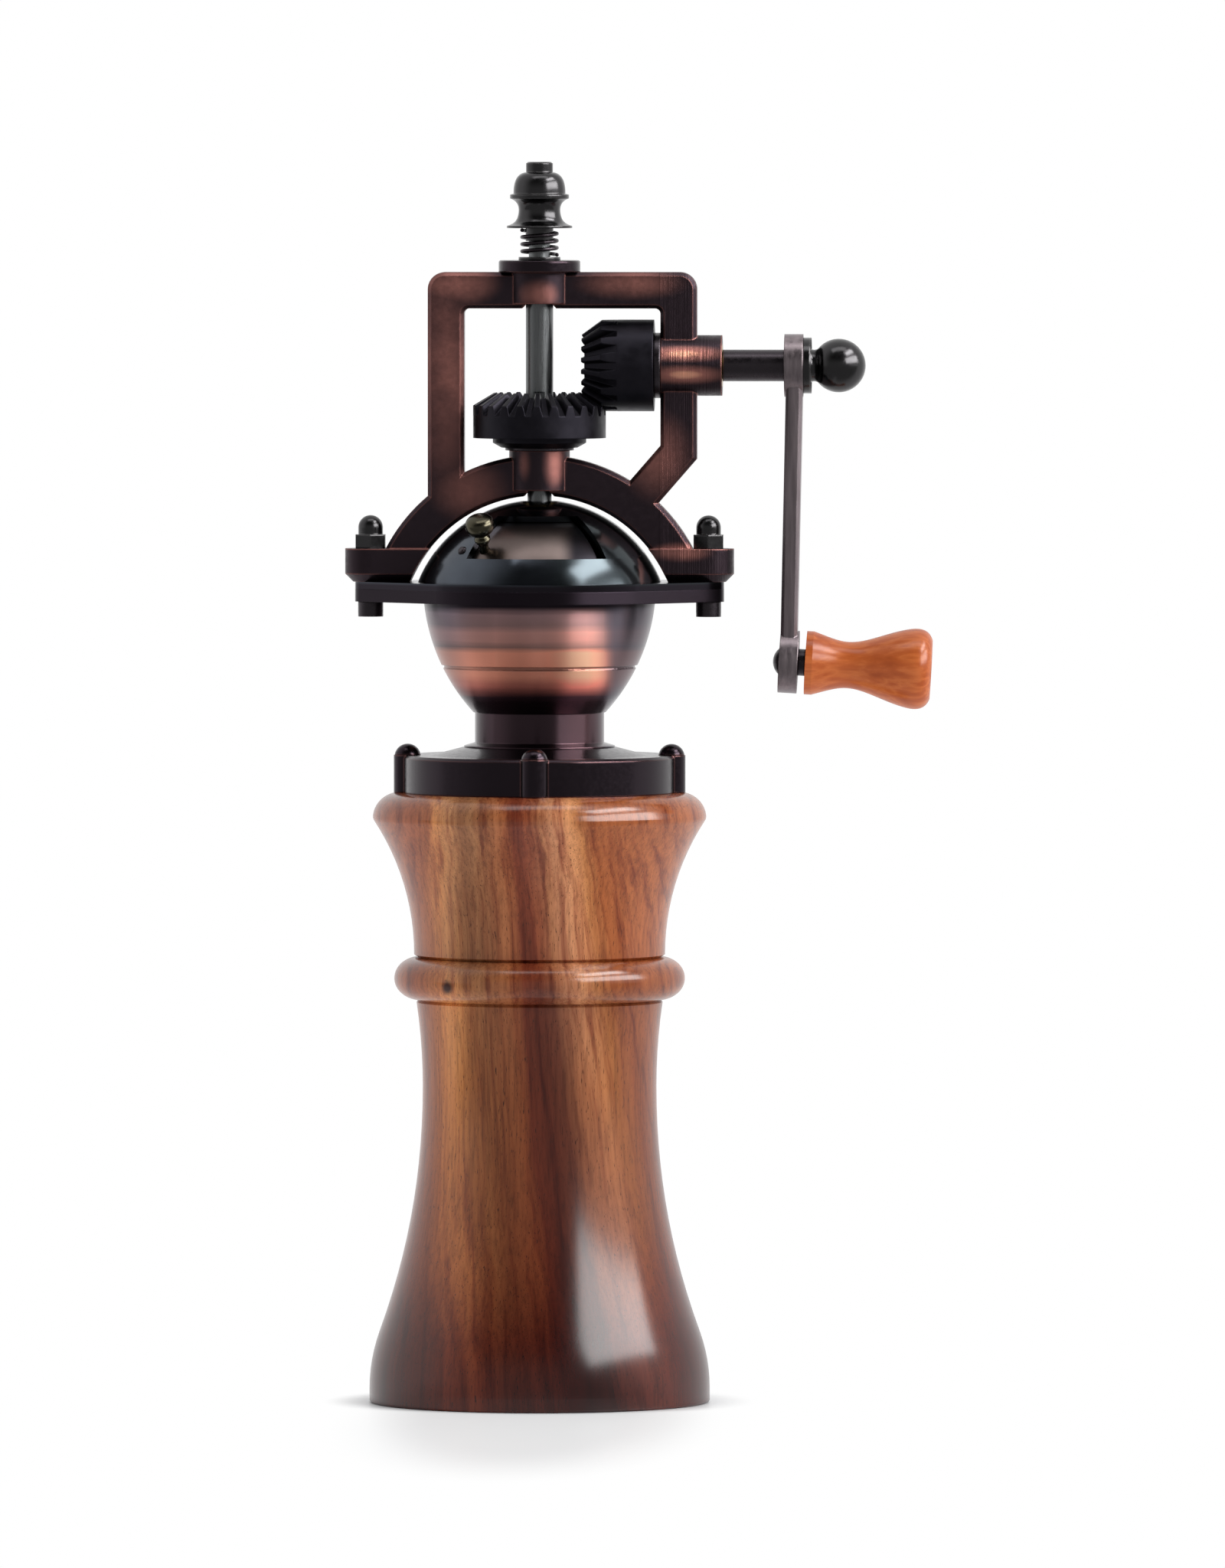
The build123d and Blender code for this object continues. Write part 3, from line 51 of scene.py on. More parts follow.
# %% [markdown]
# ## Camera
# A long lens far from a small object shows it almost without perspective: the foot and the rim look
# nearly flat, as on a technical drawing. The alternative, an orthographic camera, would lose the
# last trace of depth on the crank. The lens stands a little above the middle and a little to the
# crank's side. It is set up by the same helper that will set up the lamps.

# %% Standing off and looking back


def stand_off(thing, target, side, lift, distance):
    """Places a camera or lamp. Side is degrees round towards the crank, lift is degrees up."""
    side, lift = math.radians(side), math.radians(lift)
    out = Vector(
        (math.sin(side) * math.cos(lift), -math.cos(side) * math.cos(lift), math.sin(lift))
    )
    thing.location = target + out * distance
    thing.rotation_mode = "QUATERNION"
    thing.rotation_quaternion = (-out).to_track_quat("-Z", "Y")
    bpy.context.scene.collection.objects.link(thing)
    print(thing.name, "at", [round(part, 3) for part in thing.location])


# %% Camera
VIEW_HEIGHT = 0.2922  # metres of scene from the bottom to the top of the picture
VIEW_MIDDLE = Vector((0.0136, 0.0, 0.1153))  # what the lens looks at
CAMERA_SIDE, CAMERA_LIFT = 2.0, 2.2
CAMERA_DISTANCE = 3.6

optics = bpy.data.cameras.new("camera")
optics.sensor_fit = "VERTICAL"
optics.sensor_height = 36.0
optics.lens = optics.sensor_height * CAMERA_DISTANCE / VIEW_HEIGHT
optics.clip_end = 50.0
camera = bpy.data.objects.new("camera", optics)
stand_off(camera, VIEW_MIDDLE, CAMERA_SIDE, CAMERA_LIFT, CAMERA_DISTANCE)
bpy.context.scene.camera = camera
print("lens", round(optics.lens), "mm")

# %% [markdown]
# ## Helpers for finishes
# Every finish below is a small graph of nodes, which could be joined by hand in the shader editor.
# Here they are joined in code, so that a finish can be read from top to bottom and repeated. Written
# out in full, each would take three times as many lines, so a few helpers come first. A colour is
# written as a paint chart gives it, because the form that nodes use is hard to picture.

# %% Colours


def paint(red, green, blue):
    """A colour given in the 0 to 255 scale of a paint chart, in the linear form nodes use."""
    chart = [value / 255 for value in (red, green, blue)]
    linear = [v / 12.92 if v <= 0.04045 else ((v + 0.055) / 1.055) ** 2.4 for v in chart]
    return (*linear, 1.0)


WHITE = paint(255, 255, 255)
print("mid grey paint is", round(paint(128, 128, 128)[0], 3), "to a node")

# %% [markdown]
# The plainest helper adds one node and joins it to others. A material and the world both hold such
# a tree of nodes, so this helper serves both. The next ones build on it, one step at a time.

# %% Nodes and joins


class Graph:
    """A tree of nodes, with short calls that add to it."""

    def __init__(self, tree):
        self.tree = tree
        tree.nodes.clear()

    def add(self, kind, inputs=None, **settings):
        """One node. Its inputs are numbers, colours or the sockets of other nodes."""
        node = self.tree.nodes.new(kind)
        for key, value in settings.items():
            setattr(node, key, value)
        for key, value in (inputs or {}).items():
            self.feed(node, key, value)
        return node

    def feed(self, node, key, value):
        if isinstance(value, bpy.types.NodeSocket):
            self.tree.links.new(value, node.inputs[key])
        else:
            node.inputs[key].default_value = value

    def blend_shaders(self, factor, first, second):
        return self.add("ShaderNodeMixShader", {0: factor, 1: first, 2: second}).outputs[0]


print(Graph.__name__, "is the plainest helper")

# %% [markdown]
# Most of a finish is reckoning: how high a point is, how far it lies from a knot or a boss, and how
# much of a tone belongs there. The step between two values is the one used most. It is eased at both
# ends, because a stain or a rubbed patch on a real piece has no hard edge.

# %% Sums


class Sums(Graph):
    """A graph that reckons with numbers and places."""

    def math(self, operation, first, second=0.0):
        return self.add("ShaderNodeMath", {0: first, 1: second}, operation=operation).outputs[0]

    def plus(self, first, second):
        return self.math("ADD", first, second)

    def times(self, first, second):
        return self.math("MULTIPLY", first, second)

    def larger(self, first, second):
        return self.math("MAXIMUM", first, second)

    def remap(self, value, low, high, to_low=0.0, to_high=1.0, kind="SMOOTHSTEP"):
        """A step between two values, eased at both ends unless its kind is LINEAR."""
        limits = {"From Min": low, "From Max": high, "To Min": to_low, "To Max": to_high}
        node = self.add("ShaderNodeMapRange", {"Value": value, **limits}, interpolation_type=kind)
        return node.outputs[0]

    def vectors(self, operation, first, second=(0.0, 0.0, 0.0)):
        node = self.add("ShaderNodeVectorMath", {0: first, 1: second}, operation=operation)
        gives_number = operation in ("LENGTH", "DOT_PRODUCT")
        return node.outputs["Value" if gives_number else "Vector"]

    def split(self, spot):
        """The three parts of a place: across, depth and height."""
        parts = self.add("ShaderNodeSeparateXYZ", {0: spot}).outputs
        return parts["X"], parts["Y"], parts["Z"]

    def distance(self, spot, centre, reach):
        """How far a place lies from a centre, counted in reaches along each axis."""
        offset = self.vectors("SUBTRACT", spot, centre)
        return self.vectors("LENGTH", self.vectors("DIVIDE", offset, reach))


print(Sums.__name__, "builds on", Graph.__name__)

# %% [markdown]
# Patterns come from noise in three dimensions, stretched along the way that a piece grew or was
# worked. Image textures would need seams and unwrapping, and a solid pattern needs neither. Tones
# are laid out along a value, in its own units, so a row of tones on the bowl can be read in
# millimetres of height.

# %% Patterns and colours
MOST_CLOUDS = (0.3, 0.7)  # most of a noise lies between these


class Patterns(Sums):
    """A graph that knows where it is on the mill, and colours it."""

    def place(self):
        """Where a point lies on the mill, in millimetres."""
        here = self.add("ShaderNodeTexCoord").outputs["Object"]
        return self.vectors("MULTIPLY", here, (MM, MM, MM))

    def noise(self, spot, waves, detail=3.0, roughness=0.5):
        """Clouds between 0 and 1, with so many waves a millimetre along each axis."""
        stretched = self.add("ShaderNodeMapping", {"Vector": spot, "Scale": waves}).outputs[0]
        inputs = {"Vector": stretched, "Scale": 1.0, "Detail": detail, "Roughness": roughness}
        return self.add("ShaderNodeTexNoise", inputs).outputs["Fac"]

    def sway(self, value, reach, spot, waves, detail):
        """A value pushed about by noise, half the reach either way."""
        push = self.math("SUBTRACT", self.noise(spot, waves, detail), 0.5)
        return self.plus(value, self.times(push, reach))

    def ramp(self, value, stops):
        """Colours laid out along a value, from (value, colour) pairs."""
        low, high = stops[0][0], stops[-1][0]
        node = self.add("ShaderNodeValToRGB", {0: self.remap(value, low, high, kind="LINEAR")})
        elements = node.color_ramp.elements
        while len(elements) < len(stops):
            elements.new(0.5)
        for element, (stop, colour) in zip(elements, stops):
            element.position = (stop - low) / (high - low)
            element.color = colour
        return node.outputs["Color"]

    def mix(self, factor, first, second, blend="MIX"):
        node = self.add(
            "ShaderNodeMix",
            {"Factor": factor},
            data_type="RGBA",
            blend_type=blend,
            clamp_factor=True,
        )
        self.feed(node, 6, first)
        self.feed(node, 7, second)
        return node.outputs[2]


print(Patterns.__name__, "builds on", Sums.__name__)

# %% [markdown]
# A whole finish is a material whose shader is fed by such a graph. It dresses pieces by taking the
# place of whatever their slots held, and the pieces themselves are never changed.

# %% A whole finish


class Finish(Patterns):
    """A material with its shader, to dress pieces with."""

    def __init__(self, name):
        self.material = bpy.data.materials.new(name)
        self.material.use_nodes = True
        super().__init__(self.material.node_tree)
        self.shader = self.add("ShaderNodeBsdfPrincipled")
        self.out = self.add("ShaderNodeOutputMaterial", {"Surface": self.shader.outputs[0]})

    def set(self, **inputs):
        """Inputs of the shader, with the spaces in their names written as underscores."""
        for key, value in inputs.items():
            self.feed(self.shader, key.replace("_", " "), value)

    def bump(self, height, strength, distance, normal=None):
        inputs = {"Height": height, "Strength": strength, "Distance": distance}
        if normal is not None:
            inputs["Normal"] = normal
        return self.add("ShaderNodeBump", inputs).outputs[0]

    def dress(self, *names):
        for name in names:
            for slot in pieces[name].material_slots:
                slot.material = self.material
            print(name, "takes", self.material.name)


print(Finish.__name__, "builds on", Patterns.__name__)

# %% [markdown]
# ## Walnut body
# The body is one billet of walnut, turned, sanded and varnished. Its figure is a solid thing: the
# sapwood and heartwood lie in nearly upright sheets, and the lathe only uncovers them. So the
# colour is worked out in three dimensions rather than wrapped round the surface. The alternative,
# a flat board pattern projected on the side, would smear where the body turns away. The sheets
# lean and spread slightly, so a streak is followed by its place across the grain, then bent by
# slow noise and by finer noise.

# %% Sheets of the grain
LEAN = 0.12  # sideways drift of the grain, per millimetre up the body
FAN = 0.006  # how much more it drifts for each millimetre from the middle
SLOW_SWAY, FINE_SWAY = 7.0, 3.0  # millimetres

walnut = Finish("walnut")
spot = walnut.place()
across, depth, height = walnut.split(spot)
lean_here = walnut.plus(walnut.times(across, FAN), LEAN)
sheet = walnut.plus(across, walnut.times(lean_here, height))
sheet = walnut.sway(sheet, SLOW_SWAY, spot, (0.03, 0.05, 0.012), detail=2.0)
sheet = walnut.sway(sheet, FINE_SWAY, spot, (0.30, 0.30, 0.03), detail=4.0)
body_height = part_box("wood_body")[1].z * MM
print("the grain drifts", round(LEAN * body_height, 1), "mm from foot to mouth")

# %% [markdown]
# Across the grain the wood runs from russet through a pale streak of sapwood to a dark heart and
# out again. Each tone has its place in millimetres across the sheets.

# %% Sapwood and heartwood
GRAIN_TONES = [
    (-24, paint(175, 95, 56)),
    (-20, paint(192, 114, 66)),
    (-17, paint(245, 164, 95)),
    (-13, paint(255, 180, 110)),
    (-10, paint(200, 134, 82)),
    (-6, paint(190, 130, 84)),
    (-2, paint(170, 108, 70)),
    (4, paint(170, 100, 62)),
    (6.5, paint(130, 62, 40)),
    (10, paint(112, 52, 35)),
    (15, paint(122, 68, 50)),
    (18, paint(178, 118, 86)),
    (22, paint(212, 146, 105)),
    (25, paint(220, 152, 104)),
    (28, paint(192, 124, 74)),
    (32, paint(166, 92, 50)),
]
wood = walnut.ramp(sheet, GRAIN_TONES)
print(len(GRAIN_TONES), "tones across", GRAIN_TONES[-1][0] - GRAIN_TONES[0][0], "mm of grain")

# %% [markdown]
# The billet isn't even along its length: the mouth is paler in the middle than the barrel, a pale
# streak runs out at the foot, and the foot is redder on the crank's side. One more row of tones for
# each part would do it, but a few bands of the grain that are lightened or stained say it more
# plainly. "DODGE" lightens without greying, and "MULTIPLY" stains.

# %% Mouth and foot
MOUTH = (74.0, 84.0)  # the barrel passes into the mouth between these heights
FOOT = (38.0, 12.0)  # and into the foot between these


def grain_band(start, full, fading, end):
    """1 across a band of the grain, with a soft edge on each side."""
    return walnut.times(walnut.remap(sheet, start, full), walnut.remap(sheet, end, fading))


mouth, foot = walnut.remap(height, *MOUTH), walnut.remap(height, *FOOT)
retouched = [
    (mouth, walnut.remap(sheet, -4.0, 1.0), paint(118, 120, 108), "DODGE"),
    (mouth, grain_band(7.5, 11.5, 15.0, 20.0), paint(176, 186, 168), "DODGE"),
    (mouth, grain_band(-19.0, -14.0, -9.0, -4.0), paint(212, 210, 222), "MULTIPLY"),
    (foot, grain_band(-14.0, -10.5, -9.0, -5.0), paint(145, 155, 150), "DODGE"),
    (foot, walnut.remap(sheet, 22.0, 29.0), paint(230, 168, 130), "MULTIPLY"),
]
for region, band, tone, blend in retouched:
    wood = walnut.mix(walnut.times(region, band), wood, tone, blend)
print(len(retouched), "bands lightened or stained")

# %% [markdown]
# Within a sheet, growth shows as narrow streaks that follow the grain, finer fibres that run nearly
# upright, and open pores. Streaks and fibres only darken. The pores are also cut into the surface
# by the bump.

# %% Streaks, fibres and pores
FIBRE_SHARE = 0.75
PORE_FROM, PORE_TO = 0.60, 0.72  # only the peaks of the noise are pores

along_sheets = walnut.add("ShaderNodeCombineXYZ", {0: sheet, 1: depth, 2: height}).outputs[0]
streaks = walnut.noise(along_sheets, (0.42, 0.12, 0.011), detail=5.0, roughness=0.62)
streak_tones = [
    (0.34, paint(186, 156, 156)),
    (0.44, paint(224, 210, 208)),
    (0.52, paint(246, 242, 240)),
    (0.62, WHITE),
]
wood = walnut.mix(1.0, wood, walnut.ramp(streaks, streak_tones), "MULTIPLY")
fibres = walnut.noise(spot, (1.6, 1.6, 0.06), detail=5.0, roughness=0.65)
fibre_tones = [(0.3, paint(178, 172, 172)), (0.52, paint(238, 236, 236)), (0.7, WHITE)]
wood = walnut.mix(FIBRE_SHARE, wood, walnut.ramp(fibres, fibre_tones), "MULTIPLY")
pore_clouds = walnut.noise(spot, (5.5, 5.5, 0.55), detail=2.0, roughness=0.6)
pores = walnut.remap(pore_clouds, PORE_FROM, PORE_TO)
wood = walnut.mix(pores, wood, paint(70, 38, 26))
print("fibres take", FIBRE_SHARE, "of their full tone")

# %% [markdown]
# One small knot sits on the bead. It shows on the front alone, so how deep it lies doesn't count.
# Towards the foot the wood is darkened by painted shade, for the little light that falls there from
# above.

# %% Knot and painted shade
KNOT = (-16.3, 0.0, 78.3)
KNOT_REACH = (1.0, 1000.0, 1.25)  # so long in depth that only its outline counts
KNOT_EDGE, KNOT_HEART = 1.5, 0.4  # in reaches from its centre

to_knot = walnut.distance(spot, KNOT, KNOT_REACH)
on_front = walnut.math("LESS_THAN", depth, 0.0)
knot = walnut.times(walnut.remap(to_knot, KNOT_EDGE, KNOT_HEART), on_front)
wood = walnut.mix(knot, wood, paint(62, 28, 20))
# Painted shade: the wood is darker towards the foot, and plain from 86.4 mm up.
foot_shade = [  # height in millimetres, and tone
    (3.24, paint(116, 72, 76)),
    (12.96, paint(134, 94, 96)),
    (25.92, paint(184, 155, 142)),
    (59.4, paint(224, 207, 187)),
    (86.4, WHITE),
]
wood = walnut.mix(1.0, wood, walnut.ramp(height, foot_shade), "MULTIPLY")
print("the stain reaches up to", foot_shade[-1][0], "mm")

# %% [markdown]
# The wood itself is left matt, and a clear gloss varnish lies over it: the coat alone carries the
# shine. A glossy wood with no coat would be simpler, but its highlight would follow every pore.

# %% Varnish


def varnish(bare, colour, coat, coat_roughness, normal):
    """Matt wood under a clear coat. A coat of 1 shines fully."""
    bare.set(
        Base_Color=colour,
        Roughness=0.6,
        Specular_IOR_Level=0.0,
        Coat_Weight=coat,
        Coat_Roughness=coat_roughness,
        Normal=normal,
    )


PORE_DEPTH = 0.00012  # metres
open_pores = walnut.bump(pores, strength=0.35, distance=-PORE_DEPTH)
varnish(walnut, wood, coat=0.9, coat_roughness=0.2, normal=open_pores)
walnut.dress("wood_body")

# %% [markdown]
# ## Orange grip
# The grip is a small turning of pale wood under an orange stain. The stain takes unevenly, in soft
# streaks, and the varnish on it is a little duller than on the body. Its grain runs along the grip,
# so the noise is stretched along the grip's own length.

# %% Grip
grip_wood = Finish("orange_wood")
grip_grain = grip_wood.noise(grip_wood.place(), (0.09, 0.55, 0.55), detail=4.0)
grip_tones = [
    (0.30, paint(172, 80, 36)),
    (0.46, paint(188, 92, 43)),
    (0.58, paint(205, 110, 56)),
    (0.72, paint(182, 86, 40)),
]
grip_colour = grip_wood.ramp(grip_grain, grip_tones)
raised_grain = grip_wood.bump(grip_grain, strength=0.15, distance=0.0001)
varnish(grip_wood, grip_colour, coat=0.7, coat_roughness=0.24, normal=raised_grain)
grip_wood.dress("grip")

# %% [markdown]
# ## Metal
# No metal piece on the mill has a truly sharp edge: tumbling and plating round them all. Rounding
# every solid by a few tenths of a millimetre would cost thousands of faces. A bevel node does it in
# the shading alone, and the same node finds the corners, where its rounded normal turns away from
# the true one.

# %% Metal
ON_A_FLAT, ON_A_CORNER = 0.985, 0.86  # how well the two normals agree


class Metal(Finish):
    """A metal finish, whose edges catch the light."""

    def __init__(self, name):
        super().__init__(name)
        self.set(Metallic=1.0)

    def soft_edges(self, radius):
        """A normal that rounds every sharp edge by a small radius."""
        return self.add("ShaderNodeBevel", {"Radius": radius}, samples=6).outputs[0]

    def corners(self, radius):
        """1 on corners and 0 on flats."""
        true = self.add("ShaderNodeNewGeometry").outputs["Normal"]
        agreement = self.vectors("DOT_PRODUCT", self.soft_edges(radius), true)
        return self.remap(agreement, ON_A_FLAT, ON_A_CORNER)


print(Metal.__name__, "builds on", Finish.__name__)

# %% [markdown]
# ## Antique bronze castings
# The yoke and the fittings are cast, plated with copper and then blackened. A polishing wheel takes
# the black off again where it can reach: on the corners, and in soft patches on the flats. Painting
# those patches by hand would take an image, so the finish works them out from a few chosen centres,
# broken up by slow noise. A boss that was turned on a lathe also gets fine rings in its bump.

# %% Wear and turning
RING_DEPTH = 0.0001  # metres
BETWEEN_CLOUDS = 0.45  # of a patch's strength is left in the gaps of the noise


def wear_and_highlight_patches(finish, spot, wear, patches):
    """Wear and painted highlights round chosen centres. Patches are (centre, reach, strength), in
    millimetres.
    """
    clouds = finish.noise(spot, (0.11, 0.11, 0.11))
    clouds = finish.remap(clouds, 0.25, 0.6, BETWEEN_CLOUDS, 1.0)
    for centre, reach, strength in patches:
        near = finish.remap(finish.distance(spot, centre, reach), 1.0, 0.0)
        wear = finish.larger(wear, finish.times(finish.times(near, strength), clouds))
    return wear


def lathe_rings(finish, spot, start, normal):
    """Fine rings beyond a place across the mill."""
    rings = finish.noise(spot, (5.0, 0.05, 0.05))
    across = finish.split(spot)[0]
    depth_here = finish.remap(across, start, start + 0.3, 0.0, RING_DEPTH)
    return finish.bump(finish.times(rings, depth_here), strength=1.0, distance=1.0, normal=normal)


print("lathe rings are", round(RING_DEPTH * MM, 2), "mm deep")

# %% [markdown]
# The black gives way to rubbed copper as the wear grows. Where it is heaviest the metal turns bright
# copper, rubbed through on a corner and a painted highlight on some patches. A cast surface has fine
# pits, which set its gloss and its bump.

# %% Copper showing through black
BLACKENED = paint(53, 44, 49)
RUBBED_COPPER = paint(180, 120, 110)
# Bright copper is both a corner rubbed through and a painted highlight.
BRIGHT_COPPER_AND_HIGHLIGHT = paint(244, 176, 148)
RUBBED_THROUGH_AND_HIGHLIGHT = (0.85, 1.3)  # wear at which bright copper begins and is complete
CORNER_REACH, EDGE_RADIUS, PIT_DEPTH = 0.0006, 0.0004, 0.0001  # metres
SMOOTHEST, ROUGHEST = 0.85, 1.2  # how the pits vary a casting's roughness


def antique(
    name,
    corner_wear,
    roughness,
    pitting,
    black=BLACKENED,
    copper=RUBBED_COPPER,
    patches=(),
    turned_from=None,
):
    """Black plating over copper, worn off the corners and in patches, some of them painted highlights.
    """
    finish = Metal(name)
    spot = finish.place()
    wear = finish.times(finish.corners(CORNER_REACH), corner_wear)
    if patches:
        wear = wear_and_highlight_patches(finish, spot, wear, patches)
    colour = finish.mix(wear, black, copper)
    colour = finish.mix(finish.remap(wear, *RUBBED_THROUGH_AND_HIGHLIGHT), colour, BRIGHT_COPPER_AND_HIGHLIGHT)
    pits = finish.noise(spot, (1.2, 1.2, 1.2), detail=4.0, roughness=0.6)
    normal = finish.bump(pits, pitting, PIT_DEPTH, finish.soft_edges(EDGE_RADIUS))
    if turned_from is not None:
        normal = lathe_rings(finish, spot, turned_from, normal)
    uneven = finish.remap(pits, *MOST_CLOUDS, SMOOTHEST * roughness, ROUGHEST * roughness)
    finish.set(Base_Color=colour, Roughness=uneven, Normal=normal)
    return finish


print("wear reaches", round(CORNER_REACH * MM, 1), "mm in from a corner")

# %% [markdown]
# ### The yoke
# Two bright streaks on the side boss, one above and one below the middle of the crank's shaft, are
# painted highlights, and so are the bright patches on the low boss and along the top of the right
# ear. Of the real wear, the wheel bit hardest on the top left corner. The rest is only dusted. Even
# wear would be simpler to write, but it makes a casting look like painted plastic. Each patch has
# its centre, its reach and its strength.

# %% Yoke
SIDE_BOSS, BOSS_TURNED_FROM = 27.0, 22.3  # millimetres across

shaft_low, shaft_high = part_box("crank_shaft")
shaft_height = (shaft_low.z + shaft_high.z) / 2 * MM
bar_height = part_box("frame")[1].z * MM - 2.1708
YOKE_WEAR_AND_HIGHLIGHTS = [
    ((-17.4, -3.0, 192.0), (7.0, 8.0, 26.0), 0.75),  # left post
    ((-15.0, -3.0, bar_height), (9.0, 8.0, 5.0), 1.05),  # corner above it
    ((17.0, -3.0, bar_height), (12.0, 8.0, 3.5), 0.8),  # right half of the bar
    ((0.0, -5.6, bar_height - 2.0), (5.0, 4.0, 3.5), 0.75),  # boss under the bar
    ((SIDE_BOSS, -3.0, shaft_height + 2.2), (10.0, 9.0, 1.9), 1.5),  # side boss, painted highlight above the shaft
    ((SIDE_BOSS, -3.0, shaft_height - 1.6), (10.0, 9.0, 2.2), 1.6),  # and painted highlight below it
    ((22.0, -3.0, 176.5), (8.0, 8.0, 10.0), 0.6),  # brace below the side boss
    ((-13.0, -3.0, 170.0), (9.0, 8.0, 7.0), 0.5),  # foot of the left post
    ((26.5, -3.0, 158.6), (7.0, 8.0, 2.2), 1.1),  # painted highlight along the top of the right ear
    ((3.0, -5.0, 175.0), (2.8, 5.0, 5.5), 1.1),  # low boss, painted highlight right of its middle
    ((-2.6, -5.6, 175.0), (1.6, 4.0, 4.0), 0.4),  # and a fainter one left of it
]
bronzed = antique(
    "bronzed_casting",
    corner_wear=0.55,
    roughness=0.4,
    pitting=0.12,
    patches=YOKE_WEAR_AND_HIGHLIGHTS,
    turned_from=BOSS_TURNED_FROM,
)
bronzed.dress("frame")
print(len(YOKE_WEAR_AND_HIGHLIGHTS), "rubbed patches, the side boss at", round(shaft_height, 1), "mm")

# %% [markdown]
# ### Fittings
# The same finish with other tones does for the small parts. The collar and its screws are left
# nearly black. The bought nuts and knobs are black nickel, which is smoother and greyer, the door's
# knob is an olive bronze, and the pins, screws and washers are plain dark steel. They could share
# one finish, but these differences show which pieces were cast and which were bought.

# %% Collar and nickel
collar_black = antique(
    "dark_casting", corner_wear=0.2, roughness=0.22, pitting=0.008, black=paint(48, 41, 46)
)
collar_black.dress("collar_ring", "collar_screws", "top_bush")
nickel = antique(
    "black_nickel",
    corner_wear=0.25,
    roughness=0.2,
    pitting=0.002,
    black=paint(64, 63, 64),
    copper=paint(116, 114, 114),
)
nickel.dress("finial", "ball_knob", "acorn_nuts", "spring_washer")

# %% Door's knob, pins and screws
olive = antique(
    "knob_bronze",
    corner_wear=0.5,
    roughness=0.2,
    pitting=0.002,
    black=paint(74, 70, 58),
    copper=paint(150, 146, 122),
)
olive.dress("shutter_knob")
pin_steel = antique(
    "dark_steel",
    corner_wear=0.15,
    roughness=0.3,
    pitting=0.01,
    black=paint(62, 57, 61),
    copper=paint(130, 120, 122),
)
pin_steel.dress("stop_rivet", "dome_bush", "shutter_clip", "frame_screws", "gear_washer")
pin_steel.dress("adjuster_spring", "pinion_screw", "crank_washer", "crank_shaft", "handle_pin")

# %% [markdown]
# ## Copper bowl
# The bowl is spun from sheet, blackened, and brushed back to copper on a lathe in broad bands. The
# neck and the flange stay dark. The bands by height are partly this brushing and partly painted
# reflection of the room, with painted shade just under the flange. Height sets the bands, because
# the brush is held still while the bowl turns. A texture wrapped round the bowl would need a seam,
# and height needs none.

# %% Brushed bands and painted reflections
BAND_SWAY = 1.6  # millimetres, so that no band is ruled straight

brushed = Metal("copper_bowl")
spot = brushed.place()
across, _, height = brushed.split(spot)
level = brushed.sway(height, BAND_SWAY, spot, (0.03, 0.03, 0.6), detail=3.0)
# Partly brushed copper and partly painted reflection; the darkening at the top is painted shade.
bands_and_reflections = [
    (129.0, paint(52, 42, 47)),
    (131.8, paint(56, 40, 46)),
    (134.0, paint(168, 102, 92)),
    (136.0, paint(198, 132, 112)),
    (140.2, paint(202, 136, 116)),
    (141.2, paint(122, 96, 92)),
    (142.2, paint(160, 120, 114)),
    (144.0, paint(168, 126, 120)),
    (145.4, paint(128, 104, 104)),
    (147.5, paint(138, 112, 114)),
    (148.8, paint(66, 56, 62)),
]
copper = brushed.ramp(level, bands_and_reflections)
print(len(bands_and_reflections), "band edges from", bands_and_reflections[0][0], "to", bands_and_reflections[-1][0], "mm")

# %% [markdown]
# To the right of the middle the copper is lightened by a painted highlight, the upright stripe of the
# low window, and the middle is lightened by painted light too. On the crank's side the bowl keeps its
# grey blacking, and the far left is darkened and cooled. The fine groove is painted darker, painted
# shade that dims its glint, and the flange stays dark.

# %% Painted highlight and groove shade
PAINTED_HIGHLIGHT = [  # millimetres across the bowl, and how strong the painted highlight is
    (-14.0, 0.0), (-11.0, 0.18), (-7.4, 0.44), (-3.0, 0.38), (1.5, 0.38),
    (6.5, 0.62), (9.5, 0.64), (12.5, 0.5), (14.5, 0.0),
]
GROOVE_HEIGHT = 137.2
BESIDE_GROOVE, IN_GROOVE = 0.5, 0.25  # millimetres from its middle
FAR_LEFT = (-11.0, -17.0)  # millimetres across, from the start of the change to its end
CRANK_SIDE = (10.4, 14.8)
GREY_SHARE = 0.85  # how far the blacking still covers the copper there

flange_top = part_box("bowl")[1].z * MM

# Painted highlight and painted light, lightening the copper across the bowl.
painted_highlight_greys = [(place, (press, press, press, 1.0)) for place, press in PAINTED_HIGHLIGHT]
copper = brushed.mix(brushed.ramp(across, painted_highlight_greys), copper, paint(255, 245, 240), "DODGE")
# Painted shade in the fine groove, which dims the glint there.
from_groove = brushed.math("ABSOLUTE", brushed.math("SUBTRACT", height, GROOVE_HEIGHT))
painted_groove_shade = brushed.remap(from_groove, BESIDE_GROOVE, IN_GROOVE)
copper = brushed.mix(painted_groove_shade, copper, paint(180, 128, 112))
copper = brushed.mix(brushed.remap(across, *FAR_LEFT), copper, paint(205, 222, 236), "MULTIPLY")
blacking = brushed.times(brushed.remap(across, *CRANK_SIDE), GREY_SHARE)
copper = brushed.mix(blacking, copper, paint(80, 78, 88))
on_flange = brushed.remap(height, flange_top - 3.7, flange_top - 2.7)
copper = brushed.mix(on_flange, copper, paint(40, 34, 40))
print("the flange's top is at", round(flange_top, 1), "mm")

# %% [markdown]
# Brushing on a lathe leaves scratches that run round the bowl, so a highlight on it is drawn out
# upwards and downwards. Anisotropy does this: its tangent runs round the upright axis, and a quarter
# turn stands the highlight up. The neck was not brushed, so it is glossier.

